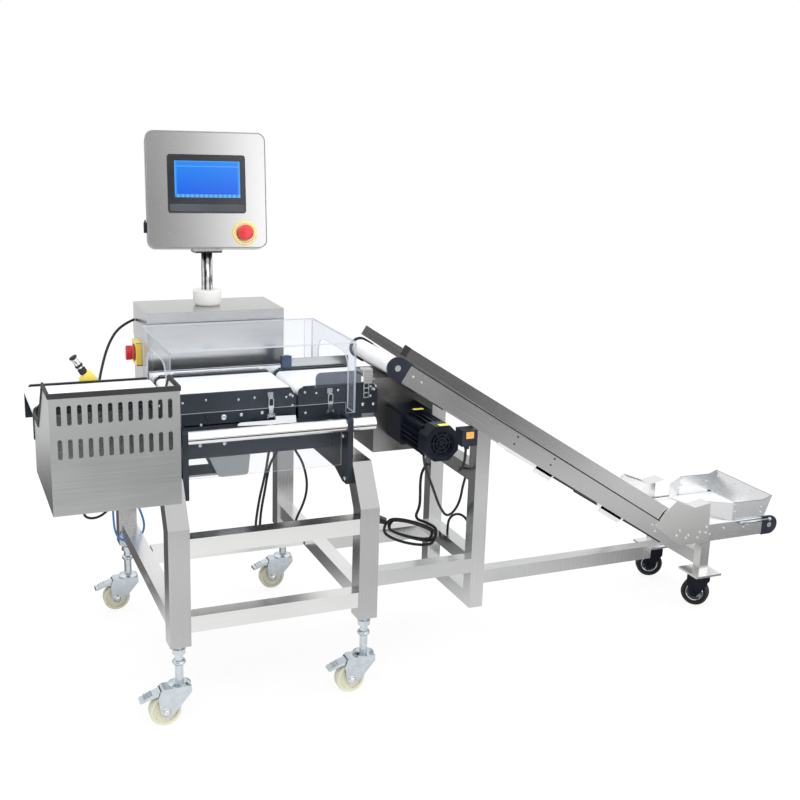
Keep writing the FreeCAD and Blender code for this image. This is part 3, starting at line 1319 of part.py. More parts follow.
def power_coil():
    """The tied hank of power cord as one ring, and the plug that rests on its raised end."""
    pose = FreeCAD.Rotation(FreeCAD.Vector(0, 0, 1), size.coil_turn.value)
    pose = pose.multiply(FreeCAD.Rotation(FreeCAD.Vector(0, 1, 0), size.coil_dip.value))
    along = size.coil_length / 2 - size.coil_height / 2

    def oval(body, add, radius, half):
        steps = [math.radians(angle) for angle in range(-90, 91, 30)]
        right = [(along + radius * math.cos(a), radius * math.sin(a)) for a in steps]
        left = [(-x, -z) for x, z in right]
        add(body, "XZ", span(-half, half), draw_polygon, right + left)

    ring = new_body(size.coil_x, size.coil_y, size.coil_z, pose)
    oval(ring, pad, size.coil_height / 2, size.coil_width / 2)
    oval(ring, pocket, size.coil_height / 2 - size.coil_strand, size.coil_width / 2 + 1)
    node("power_coil", ring)
    plug = new_body(size.coil_x, size.coil_y, size.coil_z, pose)
    tip = -size.coil_length / 2 - 0.3
    half = size.plug_width / 2
    pad(plug, "XZ", span(-half, half), draw_polygon, [
        (tip - size.plug_length, -2), (tip, 2), (tip, 14), (tip - size.plug_length, 18)])
    for z in (4, 12):
        pad(plug, "XZ", span(-1.5, 1.5), draw_polygon, [
            (tip - size.plug_length - 16, z - 1), (tip - size.plug_length + 1, z - 1),
            (tip - size.plug_length + 1, z + 1), (tip - size.plug_length - 16, z + 1)])
    node("power_plug", plug)


def write_parts():
    doc.recompute()
    faults = [f"{thing.Name} ({thing.Label}): {thing.State}" for thing in doc.Objects
              if "Invalid" in thing.State or "Error" in thing.State]
    for label, piece in nodes.items():
        if piece.Shape.isNull() or not piece.Shape.isValid() or not piece.Shape.Solids:
            faults.append(f"{label} has no sound solid")
    if faults:
        raise RuntimeError("the model did not build: " + "; ".join(faults))
    os.makedirs("parts", exist_ok=True)
    for label, piece in nodes.items():
        piece.Shape.exportStep(f"parts/{label}.step")


frame_legs()
frame_rails()
castor_stems()
for name, (x, y) in CASTORS.items():
    castor(name, x, y, size.wheel_radius, size.castor_trail, True)
stand_frame()
tail_posts()
for name, (x, y, heading) in TAIL_CASTORS.items():
    castor(name, x, y, size.tail_wheel_radius, size.tail_castor_trail, False, heading)
bracket_plates()
base_beams()
front_tube()
clear_skirt()
load_cell()
conveyors()
conveyor_motors()
latches()
guide_plates()
acrylic_cover()
cabinet()
switch_knob()
display()
estop_button()
reject_bin()
air_nozzle()
feeder_sides()
knee_covers()
feeder_belt()
feeder_rollers()
roller_caps()
hopper()
drive_box()
gearmotor()
junction_box()
cables()
power_coil()
write_parts()
total = sum(len(piece.Shape.Solids) for piece in nodes.values())
print(f"{len(nodes)} nodes, {total} solids")
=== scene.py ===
# %% [markdown]
# # A checkweigher in brushed stainless steel
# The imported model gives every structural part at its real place. This script gives the parts
# their materials, adds the pieces that only need a look, such as screws, cables, a lit screen
# and rubber trim, and sets up a white studio around the machine.

import math

import bmesh
import bpy
from mathutils import Matrix, Vector


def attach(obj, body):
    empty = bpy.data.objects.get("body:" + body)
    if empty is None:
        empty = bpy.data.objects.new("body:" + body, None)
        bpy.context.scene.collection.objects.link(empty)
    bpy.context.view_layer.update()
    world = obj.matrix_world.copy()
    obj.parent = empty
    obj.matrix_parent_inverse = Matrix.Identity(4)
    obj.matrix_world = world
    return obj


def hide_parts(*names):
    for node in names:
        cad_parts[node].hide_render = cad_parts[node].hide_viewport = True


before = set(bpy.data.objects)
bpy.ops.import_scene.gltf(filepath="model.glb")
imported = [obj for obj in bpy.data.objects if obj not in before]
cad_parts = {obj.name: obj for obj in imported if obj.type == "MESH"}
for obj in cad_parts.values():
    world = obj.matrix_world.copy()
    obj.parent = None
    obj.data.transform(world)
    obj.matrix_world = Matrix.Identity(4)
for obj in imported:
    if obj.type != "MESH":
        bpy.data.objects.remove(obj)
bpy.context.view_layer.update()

# %% [markdown]
# All places below are in millimetres from the front left corner of the main frame, as on the
# machine's drawing, and `at` carries them into the model's own frame in metres. The feeder rises
# at the angle SLOPE.

# %% Places
CORNER = Vector((-0.8144, -0.289, 0.0))
MM = 0.001
SLOPE = math.radians(32.4)


def at(x, y, z):
    return CORNER + Vector((x, y, z)) * MM


def put(name, data):
    """A new object in the scene, made of this data."""
    thing = bpy.data.objects.new(name, data)
    bpy.context.scene.collection.objects.link(thing)
    return thing


print("frame corner at", tuple(round(c, 3) for c in CORNER))

# %% [markdown]
# The camera stands where the photograph was taken from: its place, heading, tilt and lens come
# from the straight edges of the frame in the photograph.

# %% Camera
camera_data = bpy.data.cameras.new("camera")
camera_data.lens = 50.956
camera_data.sensor_width = 36.0
camera_data.clip_end = 60.0
camera = put("camera", camera_data)
heading, downward, roll = math.radians(23.55), math.radians(14.39), math.radians(1.82)
camera.matrix_world = (
    Matrix.Translation(at(-487.64, -2409.86, 1434.71))
    @ Matrix.Rotation(-heading, 4, "Z")
    @ Matrix.Rotation(math.pi / 2 - downward, 4, "X")
    @ Matrix.Rotation(roll, 4, "Z")
)
bpy.context.scene.camera = camera
bpy.context.scene.view_settings.view_transform = "Standard"
print("camera at", tuple(round(c, 2) for c in camera.location))

# %% [markdown]
# ## Shader maths
# A `Shader` makes one material's nodes, and a `Value` is one output of a node. Sums and products
# of values make the maths nodes, so a material reads as a formula.

# %% Shader maths


class Value:
    """An output of a shader node that can be added, subtracted and multiplied."""

    def __init__(self, shader, socket):
        self.shader = shader
        self.socket = socket

    def math(self, operation, *others):
        return self.shader.node("ShaderNodeMath", self, *others, operation=operation)

    def __add__(self, other):
        return self.math("ADD", other)

    __radd__ = __add__

    def __mul__(self, other):
        return self.math("MULTIPLY", other)

    __rmul__ = __mul__

    def __sub__(self, other):
        return self.math("SUBTRACT", other)

    def __rsub__(self, other):
        return self.math("MULTIPLY", -1.0).math("ADD", other)

    def ramp(self, low, high):
        """0 below low, 1 above high, and smooth between."""
        return self.shader.node(
            "ShaderNodeMapRange", self, low, high, 0.0, 1.0, interpolation_type="SMOOTHSTEP"
        )


# Outputs of the texture coordinate node: over the object's box, over its flat map, in its axes.
BOX, FLAT, OWN = 0, 2, 3


class Shader:
    """One material, or the world, and the short ways to make its nodes."""

    def __init__(self, name, world=None):
        self.material = world or bpy.data.materials.new(name)
        self.material.use_nodes = True
        self.tree = self.material.node_tree
        self.surface = self.tree.nodes.get("Principled BSDF")

    def node(self, kind, *inputs, out=0, **settings):
        made = self.tree.nodes.new(kind)
        for setting, value in settings.items():
            setattr(made, setting, value)
        for socket, value in zip(made.inputs, inputs):
            self.feed(socket, value)
        return Value(self, made.outputs[out])

    def feed(self, socket, value):
        if isinstance(value, Value):
            self.tree.links.new(value.socket, socket)
        elif value is not None:
            socket.default_value = value

    def set(self, **inputs):
        """Sets inputs of the surface by name, with _ for a space."""
        for name, value in inputs.items():
            self.feed(self.surface.inputs[name.replace("_", " ")], value)

    def coordinates(self, kind):
        return self.node("ShaderNodeTexCoord", out=kind)

    def split(self, vector):
        """The x, y and z of a vector."""
        parts = self.tree.nodes.new("ShaderNodeSeparateXYZ")
        self.feed(parts.inputs[0], vector)
        return [Value(self, output) for output in parts.outputs]

    def ray(self, kind):
        """1 on the rays of this kind, and 0 on the others."""
        return Value(self, self.tree.nodes.new("ShaderNodeLightPath").outputs[f"Is {kind} Ray"])

    def place(self, scale=(1, 1, 1), turn=(0, 0, 0)):
        coordinates = self.coordinates(OWN)
        if any(turn):
            coordinates = self.node("ShaderNodeMapping", coordinates, None, turn)
        return self.node("ShaderNodeMapping", coordinates, None, None, scale)

    def noise(self, where, scale, detail=3.0, roughness=0.55):
        return self.node("ShaderNodeTexNoise", where, None, scale, detail, roughness)

    def mix(self, low, high, amount):
        made = self.tree.nodes.new("ShaderNodeMix")
        made.data_type = "RGBA"
        for index, value in ((0, amount), (6, low), (7, high)):
            self.feed(made.inputs[index], value)
        return Value(self, made.outputs[2])

    def between(self, first, second, amount):
        """Ends the material in a mix of two surfaces."""
        both = self.tree.nodes.new("ShaderNodeMixShader")
        self.feed(both.inputs[0], amount)
        for socket, surface in zip(both.inputs[1:], (first, second)):
            self.tree.links.new(surface.outputs[0], socket)
        self.tree.links.new(both.outputs[0], self.tree.nodes["Material Output"].inputs[0])
        return self

    def bump(self, height, distance, strength):
        made = self.tree.nodes.new("ShaderNodeBump")
        self.feed(made.inputs["Height"], height)
        made.inputs["Distance"].default_value = distance
        made.inputs["Strength"].default_value = strength
        self.set(Normal=Value(self, made.outputs[0]))
        return self


def grey(level):
    return (level, level, level, 1.0)


def dimmed(tint, amount):
    return [c * amount for c in tint[:3]] + [1]


print("shader helpers ready")

# %% [markdown]
# ## Materials
# Brushed sheet has fine streaks in one direction, which vary its brightness, its roughness and
# its relief, and soft clouds where the grain was laid by hand. The grain runs along X on sheet
# metal and rails, along Z on upright tubes and along the slope on the feeder.

# %% Metals
ALONG = {"x": (0.3, 60, 60), "z": (60, 60, 0.3)}


def brushed(name, light, dark, rough, along="x", slope=0.0, painted_end_light=1.0):
    """Brushed sheet. Its last argument, other than 1, paints shade on its left end when below 1 and
    a highlight when above 1.
    """
    shader = Shader(name)
    grain = shader.place(ALONG[along], (0, slope, 0))
    streaks = shader.noise(grain, 16.0, 3.0, 0.6)
    clouds = shader.noise(shader.place(), 3.5, 2.0)
    marks = shader.noise(shader.place(), 38.0, 3.0).ramp(0.62, 0.8)
    tone = streaks * 0.45 + clouds * 0.55
    colour = shader.mix(dark, light, tone.ramp(0.25, 0.75))
    # Painted shade or highlight: towards the low-x end the colour goes to the dark tone scaled by
    # the last argument.
    if painted_end_light != 1.0:
        across = shader.split(shader.coordinates(BOX))[0]
        reach = 0.5 if painted_end_light > 1 else 1.0
        colour = shader.mix(dimmed(dark, painted_end_light), colour, across.ramp(0.0, reach))
    shader.set(
        Base_Color=colour,
        Metallic=1.0,
        Roughness=streaks * 0.16 + clouds * 0.12 + marks * 0.05 + (rough - 0.14),
    )
    return shader.bump(streaks, 0.00004, 0.3).material


# One brushed stainless steel in lit and shaded copies: each copy's brightness paints how much light
# its parts catch, darkest on the drive box, the legs and the bin, brightest on the rails and the
# hopper. The last argument of some paints shade or a highlight at one end of the part.
STEEL_LIGHT, STEEL_DARK = (0.7, 0.705, 0.7, 1), (0.58, 0.585, 0.585, 1)
steel_x = brushed("steel_grain_x", STEEL_LIGHT, STEEL_DARK, 0.24)
steel_z = brushed("steel_grain_z", STEEL_LIGHT, STEEL_DARK, 0.24, "z")
steel_leg = brushed("steel_leg", grey(0.56), grey(0.47), 0.24, "z")
steel_rail = brushed("steel_rail", (0.88, 0.88, 0.87, 1), (0.78, 0.78, 0.77, 1), 0.24)
steel_bin = brushed("steel_bin", (0.61, 0.62, 0.62, 1), (0.5, 0.51, 0.51, 1), 0.24)
steel_display = brushed("steel_display", grey(0.83), grey(0.77), 0.24, painted_end_light=0.56)
steel_plate = brushed("steel_plate", grey(0.82), grey(0.72), 0.24, "x", -SLOPE, painted_end_light=0.75)
steel_guard = brushed("steel_guard", grey(0.84), grey(0.74), 0.26, "x", -SLOPE, painted_end_light=0.3)
steel_bright = brushed("steel_bright", (0.95, 0.96, 0.97, 1), (0.84, 0.86, 0.87, 1), 0.26)
# Painted shade and highlight: the drive box is stainless steel painted near black, with a bright
# band at its left end.
drive_steel_painted_light = brushed("drive_steel_painted_light", grey(0.16), grey(0.1), 0.24, "z", painted_end_light=3.6)
# Darkened steel that paints the shade along the display's edge and along the hopper's lip.
painted_shade_steel = brushed("painted_shade_steel", grey(0.42), grey(0.34), 0.3)
tray_grey = brushed("tray_grey", (0.42, 0.45, 0.46, 1), (0.34, 0.37, 0.38, 1), 0.42)


def plated(name, tint, rough):
    """Zinc plate: a fine spangle with a blue cast and duller spots."""
    shader = Shader(name)
    spangle = shader.node("ShaderNodeTexVoronoi", shader.place(), None, 420.0, out=1)
    spangle = shader.node("ShaderNodeSeparateColor", spangle)
    dull = shader.noise(shader.place(), 60.0, 4.0)
    shader.set(
        Base_Color=shader.mix(dimmed(tint, 0.88), tint, dull.ramp(0.3, 0.7)),
        Metallic=1.0,
        Roughness=spangle * 0.04 + dull * 0.1 + (rough - 0.06),
    )
    return shader.bump(dull, 0.00003, 0.4).material


zinc = plated("zinc_plate", (0.66, 0.72, 0.76, 1), 0.2)
bright_screw = plated("bright_screw", (0.85, 0.86, 0.88, 1), 0.22)


def mirror(name, tint, rough):
    """Polished or turned metal with faint marks of wiping."""
    shader = Shader(name)
    wipe = shader.noise(shader.place((1, 30, 30)), 9.0, 3.0)
    shader.set(
        Base_Color=shader.mix(dimmed(tint, 0.9), tint, wipe),
        Metallic=1.0,
        Roughness=wipe * 0.04 + rough,
    )
    return shader.bump(wipe, 0.00002, 0.3).material


polished = mirror("polished_steel", (0.82, 0.82, 0.83, 1), 0.05)
turned_aluminium = mirror("turned_aluminium", (0.82, 0.83, 0.84, 1), 0.2)


def tube_with_painted_reflections(name, axis, *marks):
    """A drawn tube with painted reflections: its low side is painted dark, and each mark is a
    painted dark reflection line along it, given by its place across the tube and its width.
    """
    shader = Shader(name)
    girth = shader.split(shader.coordinates(BOX))["XYZ".index(axis)]
    # Painted reflection: dark at the low side and along each mark, bright between.
    bands = girth.ramp(0.0, 0.08)
    for place, width in marks:
        bands = bands * (girth - place).math("ABSOLUTE").ramp(width * 0.5, width)
    lines = shader.noise(shader.place(ALONG["z" if axis == "X" else "x"]), 12.0, 2.0)
    shader.set(
        Base_Color=shader.mix(grey(0.1), grey(0.92), bands),
        Metallic=1.0,
        Roughness=lines * 0.08 + 0.2,
    )
    return shader.bump(lines, 0.00001, 0.2).material


front_steel = tube_with_painted_reflections("front_tube_steel", "Z", (0.4, 0.07))
column_steel = tube_with_painted_reflections("column_steel", "X", (0.24, 0.12), (0.66, 0.1), (0.96, 0.1))
print("metals made")

# %% [markdown]
# Painted, anodised and moulded surfaces have their own fine grain in the relief, and slow
# changes of tone and gloss where hands and cloths have been.

# %% Paint, plastic and rubber


def coated(
    name, colour, rough, grain=900.0, relief=0.00003, spread=0.25, gloss=0.0, metal=0.0, shine=0.5
):
    """Paint, plastic or rubber. The spread is how much paler its worn places are."""
    shader = Shader(name)
    fine = shader.noise(shader.place(), grain, 2.0)
    slow = shader.noise(shader.place(), 9.0, 4.0)
    worn = [min(1.0, c * (1 + spread) + 0.01) for c in colour[:3]] + [1]
    shader.set(
        Base_Color=shader.mix(list(colour[:3]) + [1], worn, slow.ramp(0.4, 0.75)),
        Metallic=metal,
        Roughness=fine * 0.1 + slow * 0.18 + (rough - 0.14),
        Coat_Weight=gloss,
        Coat_Roughness=0.15,
        Specular_IOR_Level=shine,
    )
    return shader.bump(fine, relief, 0.7).material


dark_plate = coated("anodised_plate", (0.016, 0.022, 0.032), 0.36, 1400.0, metal=0.3, shine=0.4)
motor_paint = coated("motor_paint", (0.004, 0.006, 0.012), 0.32, 500.0, 0.00006, shine=0.16)
black_plastic = coated("black_plastic", (0.012, 0.016, 0.028), 0.4, 1200.0, shine=0.3)
rubber = coated("black_rubber", (0.014, 0.014, 0.016), 0.62, 700.0, 0.00008, 0.5)
sheath = coated("cable_sheath", (0.008, 0.008, 0.01), 0.4, 500.0, 0.00005, 0.4, shine=0.35)
air_blue = coated("air_tube_blue", (0.02, 0.17, 0.55), 0.28, 300.0, gloss=0.4)
ivory = coated("ivory_nylon", (0.6, 0.59, 0.45), 0.45, 800.0, 0.00005, 0.1)
white_nylon = coated("white_nylon", (0.85, 0.85, 0.83), 0.4, 900.0, spread=0.03)
scraper_white = coated("scraper_white", (0.8, 0.81, 0.82), 0.42, 900.0, spread=0.04)
pale_strip = coated("pale_strip", (0.55, 0.56, 0.56), 0.42, 900.0, spread=0.08)
beige = coated("beige_block", (0.62, 0.56, 0.5), 0.5, 600.0)
yellow = coated("yellow_plastic", (0.9, 0.66, 0.08), 0.34, 1500.0, spread=0.06, gloss=0.3)
label_yellow = coated("label_yellow", (0.93, 0.76, 0.12), 0.42, 1500.0, spread=0.04)
label_orange = coated("label_orange", (0.8, 0.36, 0.06), 0.42, 1500.0, spread=0.08)
red = coated("red_plastic", (0.62, 0.025, 0.03), 0.3, 1600.0, spread=0.1, gloss=0.4)
navy_clamp = coated("navy_clamp", (0.035, 0.06, 0.12), 0.34, 900.0, metal=0.4)
strip_grey = coated("bezel_strip", (0.05, 0.055, 0.065), 0.45, 1600.0)
gloss_black = coated("gloss_black", (0.006, 0.007, 0.01), 0.16, 1800.0, 0.00001, 0.2, 0.5)


def belting(name):
    """Smooth white belt: a faint cloth print through the skin and light marks of running."""
    shader = Shader(name)
    weave = shader.node(
        "ShaderNodeTexWave", shader.place(), 900.0, 0.4, 1.0, bands_direction="Y", out=1
    )
    runs = shader.noise(shader.place((1, 14, 1)), 6.0, 3.0)
    scuffs = shader.noise(shader.place(), 24.0, 4.0).ramp(0.55, 0.85)
    clean, worn = (0.88, 0.885, 0.88, 1), (0.78, 0.785, 0.78, 1)
    shader.set(
        Base_Color=shader.mix(clean, worn, runs.ramp(0.45, 0.8)),
        Roughness=scuffs * 0.15 + runs * 0.1 + 0.3,
    )
    return shader.bump(weave, 0.00003, 0.4).material


belt = belting("white_belt")
print("coatings made")

# %% [markdown]
# Clear sheet is mostly see-through. Its faces add a reflection that grows towards grazing views,
# and its sawn edges carry the light, so they show as pale lines.

# %% Clear sheet and the screen


def clear_sheet(name, tint, seen, through, rough):
    """A see-through sheet: `seen` tints what is behind it, and `through` is how much shows."""
    shader = Shader(name)
    haze = shader.noise(shader.place(), 16.0, 3.0)
    shader.set(
        Base_Color=shader.mix(tint, [min(1, c * 1.06) for c in tint[:3]] + [1], haze),
        Roughness=haze * 0.06 + rough,
    )
    see = shader.tree.nodes.new("ShaderNodeBsdfTransparent")
    see.inputs["Color"].default_value = seen
    facing = shader.node("ShaderNodeLayerWeight", 0.3, out=1)
    body = facing * facing * 0.45 + haze * 0.012 + (1 - through)
    return shader.between(see, shader.surface, body).material


CLEAR, HAZY = (0.972, 0.978, 0.988, 1), (0.92, 0.93, 0.94, 1)
acrylic = clear_sheet("clear_acrylic", (0.62, 0.65, 0.69, 1), CLEAR, 0.996, 0.03)
acrylic_edge = clear_sheet("acrylic_edge", (0.52, 0.56, 0.64, 1), HAZY, 0.3, 0.12)
smoked = clear_sheet("smoked_sheet", (0.14, 0.15, 0.17, 1), (0.46, 0.48, 0.52, 1), 0.7, 0.08)
drip_sheet = clear_sheet("drip_sheet", (0.5, 0.53, 0.57, 1), CLEAR, 0.97, 0.08)
smoked_edge = clear_sheet("smoked_edge", (0.8, 0.83, 0.86, 1), HAZY, 0.35, 0.2)


def lit_screen(name):
    """The lit panel: deep blue with a lighter border, a row at the top and a bar at the foot."""
    shader = Shader(name)
    across, up, _ = shader.split(shader.coordinates(FLAT))
    edge_x = (across - 0.5).math("ABSOLUTE").ramp(0.455, 0.49)
    edge_y = (up - 0.5).math("ABSOLUTE").ramp(0.46, 0.5)
    foot = up.ramp(0.1, 0.07)
    row = up.ramp(0.835, 0.845) * (1 - up.ramp(0.86, 0.87)) * (1 - edge_x)
    cells = (across * 14.0).math("FRACT").ramp(0.35, 0.45) * foot
    sky = shader.mix((0.0, 0.1, 0.8, 1), (0.01, 0.25, 0.95, 1), up)
    rim = shader.mix(sky, (0.06, 0.4, 1.0, 1), edge_x.math("MAXIMUM", edge_y))
    bar = shader.mix(rim, (0.05, 0.3, 0.75, 1), foot)
    marks = shader.mix(bar, (0.25, 0.6, 1.0, 1), (cells * 0.5).math("MAXIMUM", row * 0.4))
    shader.set(
        Base_Color=(0.0, 0.01, 0.03, 1),
        Roughness=shader.noise(shader.place(), 300.0) * 0.05 + 0.12,
        Emission_Color=marks,
        Emission_Strength=0.92,
    )
    return shader.material


screen = lit_screen("lit_screen")
print("clear sheet and screen made")

# %% [markdown]
# ## Studio
# The machine stands on a white sweep. The camera sees plain white behind it. Reflections see a
# room that is brighter above, and dark in front of the machine but for one bright panel. They see
# soft bands on the floor, and both give the sheet metal its gradients.

# %% World, lights and floor


def studio():
    world = bpy.data.worlds.new("studio")
    bpy.context.scene.world = world
    shader = Shader("studio", world)
    background = shader.tree.nodes["Background"]
    x, y, z = shader.split(shader.coordinates(BOX))
    ahead = (y * -1.0).ramp(0.2, 0.8) * (1 - (z - 0.16).math("ABSOLUTE").ramp(0.14, 0.3))
    panel = ahead * x.ramp(-0.13, 0.02) * 1.6
    room = z.ramp(0.0, 0.8) * 0.45 + 0.72
    room = room * (1 - ahead * 0.75) + panel
    white = shader.ray("Camera").math("MAXIMUM", shader.ray("Transmission"))
    colour = shader.node("ShaderNodeCombineColor", room, room, room * 1.01)
    shader.feed(background.inputs["Color"], shader.mix(colour, grey(1.0), white))
    background.inputs["Strength"].default_value = 1.0


def soft_lamp(name, where, target, size, power):
    data = bpy.data.lights.new(name, "AREA")
    data.shape = "RECTANGLE"
    data.size, data.size_y = size
    data.energy = power
    lamp = put(name, data)
    lamp.location = where
    lamp.rotation_mode = "QUATERNION"
    lamp.visible_glossy = False
    lamp.rotation_quaternion = (Vector(target) - Vector(where)).to_track_quat("-Z", "Y")


studio()
soft_lamp("key_lamp", (-1.6, -2.8, 3.4), (0.0, 0.0, 0.7), (2.6, 1.6), 52.0)
soft_lamp("fill_lamp", (3.2, -2.4, 2.2), (0.3, 0.0, 0.6), (2.0, 2.0), 20.0)
soft_lamp("top_lamp", (0.2, 0.4, 3.6), (0.2, 0.0, 0.6), (3.2, 2.0), 32.0)


def floor():
    """White paper to the camera, and soft bands to reflections."""
    shader = Shader("studio_floor")
    paper = shader.noise(shader.place(), 40.0)
    shader.set(
        Base_Color=shader.mix(grey(0.9), grey(0.93), paper),
        Roughness=paper * 0.1 + 0.75,
        Emission_Color=grey(1.0),
        Emission_Strength=0.12,
    )
    glow = shader.tree.nodes.new("ShaderNodeEmission")
    glow.inputs["Strength"].default_value = 1.0
    seen, mirrored = shader.ray("Camera"), shader.ray("Glossy")
    x, y, _ = shader.split(shader.place())
    across = x.math("MINIMUM", 2.0).math("MAXIMUM", -2.0)
    bands = ((y + 1.35) * 2.6).math("COSINE") * 0.34 - across * 0.15 + 0.66
    bands = bands + y.ramp(-1.0, -0.45) * (1 - x.ramp(0.4, 1.1)) * 0.5
    behind = y.ramp(0.0, 0.6)
    bands = bands * (1 - behind) + behind * ((y + x * -0.6).ramp(2.2, 3.4) * 0.6 + 0.14)
    level = shader.node("ShaderNodeCombineColor", bands, bands, bands)
    shader.feed(glow.inputs["Color"], shader.mix(grey(1.0), level, mirrored))
    shader.between(shader.surface, glow, (seen * 0.86).math("MAXIMUM", mirrored))
    mesh = bpy.data.meshes.new("floor")
    reach, dip = 14.0, -0.001
    signs = ((-1, -1), (1, -1), (1, 1), (-1, 1))
    mesh.from_pydata([(x * reach, y * reach, dip) for x, y in signs], [], [(0, 1, 2, 3)])
    mesh.materials.append(shader.material)
    put("floor", mesh)


floor()
print("studio lit")

# %% [markdown]
# ## Materials on the imported nodes
# Every imported node gets the material that its real part has; stainless parts get the lit or
# shaded copy of the steel that paints the light they catch. A few are replaced further down by
# pieces with several materials.

# %% Dress the imported nodes
DRESS = {
    "frame_legs": steel_leg, "frame_rails": steel_rail, "stand_frame": steel_z,
    "tail_posts": steel_rail, "castor_stems": zinc, "bracket_plates": dark_plate,
    "base_beams": dark_plate, "front_tube": front_steel, "clear_skirt": drip_sheet,
    "load_cell": tray_grey, "weigh_frame": dark_plate, "transfer_frames": dark_plate,
    "conveyor_belts": belt, "conveyor_motors": motor_paint, "guide_plates": steel_x,
    "cabinet_shell": steel_x, "cabinet_door": steel_x, "display_column": polished,
    "display_head": steel_display, "estop_button": red, "switch_knob": red, "reject_bin": steel_bin,
    "air_nozzle": polished, "feeder_sides": steel_plate, "knee_covers": steel_rail,
    "feeder_belt": belt, "roller_caps": black_plastic, "hopper": steel_bright,
    "drive_box": drive_steel_painted_light, "gearmotor": motor_paint, "junction_box": black_plastic,
    "machine_cables": sheath, "power_cord": sheath, "power_coil": sheath,
    "power_plug": black_plastic, "acrylic_cover": acrylic,
}


def material_of(node):
    if node in DRESS:
        return DRESS[node]
    if node.startswith("latch"):
        return bright_screw
    if node.startswith("castor_wheel"):
        return rubber if "tail" in node else ivory
    if node.startswith("castor"):
        return motor_paint if "tail" in node else zinc
    return turned_aluminium if node.endswith("roller") else zinc


for name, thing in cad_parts.items():
    thing.data.materials.clear()
    thing.data.materials.append(material_of(name))
print("dressed", len(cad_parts), "nodes")

# %% [markdown]
# ## Mesh helpers
# A `Piece` gathers prisms and turned shapes in one mesh. Places are in millimetres from the
# frame's corner, or in the display's own axes when it is given that pose.

# %% Mesh helpers
STANDING = Matrix.Translation(CORNER) @ Matrix.Scale(MM, 4)
AXES = {
    "yz": Matrix(((0, 0, 1), (1, 0, 0), (0, 1, 0))).to_4x4(),
    "xz": Matrix(((1, 0, 0), (0, 0, 1), (0, 1, 0))).to_4x4(),
    "xy": Matrix.Identity(4),
}
LEFT, RIGHT, FRONT, BACK = (-1, 0, 0), (1, 0, 0), (0, -1, 0), (0, 1, 0)


def rounded(points, radius, steps=5):
    """A closed outline with every corner rounded to an arc."""
    result = []
    count = len(points)
    for i in range(count):
        before, corner, after = (Vector(points[(i + k) % count]) for k in (-1, 0, 1))
        inward, outward = (before - corner).normalized(), (after - corner).normalized()
        half = inward.angle(outward) / 2
        reach = radius / math.tan(half)
        middle = corner + (inward + outward).normalized() * (radius / math.sin(half))
        start, end = corner + inward * reach - middle, corner + outward * reach - middle
        for k in range(steps + 1):
            spoke = start.lerp(end, k / steps).normalized() * radius
            result.append(tuple(middle + spoke))
    return result


def oblong(left, right, low, high, radius):
    return rounded([(left, low), (right, low), (right, high), (left, high)], radius)


class Piece:
    """One named mesh, made of prisms, rings and turned shapes with a material for each."""

    def __init__(self, name, body, *materials, pose=STANDING):
        self.name, self.body, self.pose = name, body, pose
        self.materials = materials
        self.mesh = bmesh.new()

    def corners(self, turn, spots):
        return [self.mesh.verts.new(self.pose @ (turn @ Vector(spot))) for spot in spots]

    def face(self, corners, slot):
        self.mesh.faces.new(corners).material_index = slot

    def skin(self, lower, upper, slot):
        """A band of faces from one ring of corners to the next."""
        for i in range(len(lower)):
            j = (i + 1) % len(lower)
            self.face((lower[i], lower[j], upper[j], upper[i]), slot)

    def prism(self, plane, outline, low, high, slot=0, rim=None):
        """An outline on a plane, carried from low to high along the plane's normal."""
        lower = self.corners(AXES[plane], [(a, b, low) for a, b in outline])
        upper = self.corners(AXES[plane], [(a, b, high) for a, b in outline])
        self.face(lower[::-1], slot)
        self.face(upper, slot)
        self.skin(lower, upper, slot if rim is None else rim)

    def hoop(self, plane, outer, inner, low, high, slot=0):
        """A flat ring between two outlines that have as many points as each other."""
        loops = []
        for outline, level in ((outer, low), (inner, low), (inner, high), (outer, high)):
            loops.append(self.corners(AXES[plane], [(a, b, level) for a, b in outline]))
        for first, second in zip(loops, loops[1:] + loops[:1]):
            self.skin(first, second, slot)

    def block(self, x, y, z, slot=0, round_by=0.0):
        outline = [(x[0], y[0]), (x[1], y[0]), (x[1], y[1]), (x[0], y[1])]
        if round_by:
            outline = rounded(outline, round_by)
        self.prism("xy", outline, z[0], z[1], slot)

    def turned(self, profile, place, axis=(0, 0, 1), slot=0, steps=40):
        """A profile of (radius, distance along the axis) turned about the axis at a place."""
        turn = Vector((0, 0, 1)).rotation_difference(Vector(axis)).to_matrix().to_4x4()
        turn = Matrix.Translation(place) @ turn
        angles = [2 * math.pi * k / steps for k in range(steps)]
        rings = []
        for radius, along in profile:
            spots = [(radius * math.cos(a), radius * math.sin(a), along) for a in angles]
            rings.append(self.corners(turn, spots))
        for lower, upper in zip(rings, rings[1:]):
            self.skin(lower, upper, slot)
        self.face(rings[0][::-1], slot)
        self.face(rings[-1], slot)

    def screw(self, place, axis, radius=4.0, slot=0):
        """A domed cap screw with a hexagon socket."""
        profile = [(radius, -0.4), (radius, 1.2), (radius * 0.86, 2.4), (radius * 0.55, 3.0),
                   (radius * 0.5, 2.9), (radius * 0.46, 1.4)]
        self.turned(profile, place, axis, slot, 18)

    def done(self, soften, replaces=(), slot=None):
        """Makes the mesh, with its sharp edges softened by this many millimetres."""
        bmesh.ops.recalc_face_normals(self.mesh, faces=self.mesh.faces)
        mesh = bpy.data.meshes.new(self.name)
        self.mesh.to_mesh(mesh)
        self.mesh.free()
        for material in self.materials:
            mesh.materials.append(material)
        mesh.shade_smooth()
        thing = put(self.name, mesh)
        if soften:
            edge = thing.modifiers.new("edges", "BEVEL")
            edge.width = soften * MM
            edge.segments = 2
            edge.limit_method = "ANGLE"
            edge.angle_limit = math.radians(35)
            edge.harden_normals = True
        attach(thing, self.body)
        if replaces:
            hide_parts(*replaces)


print("mesh helpers ready")
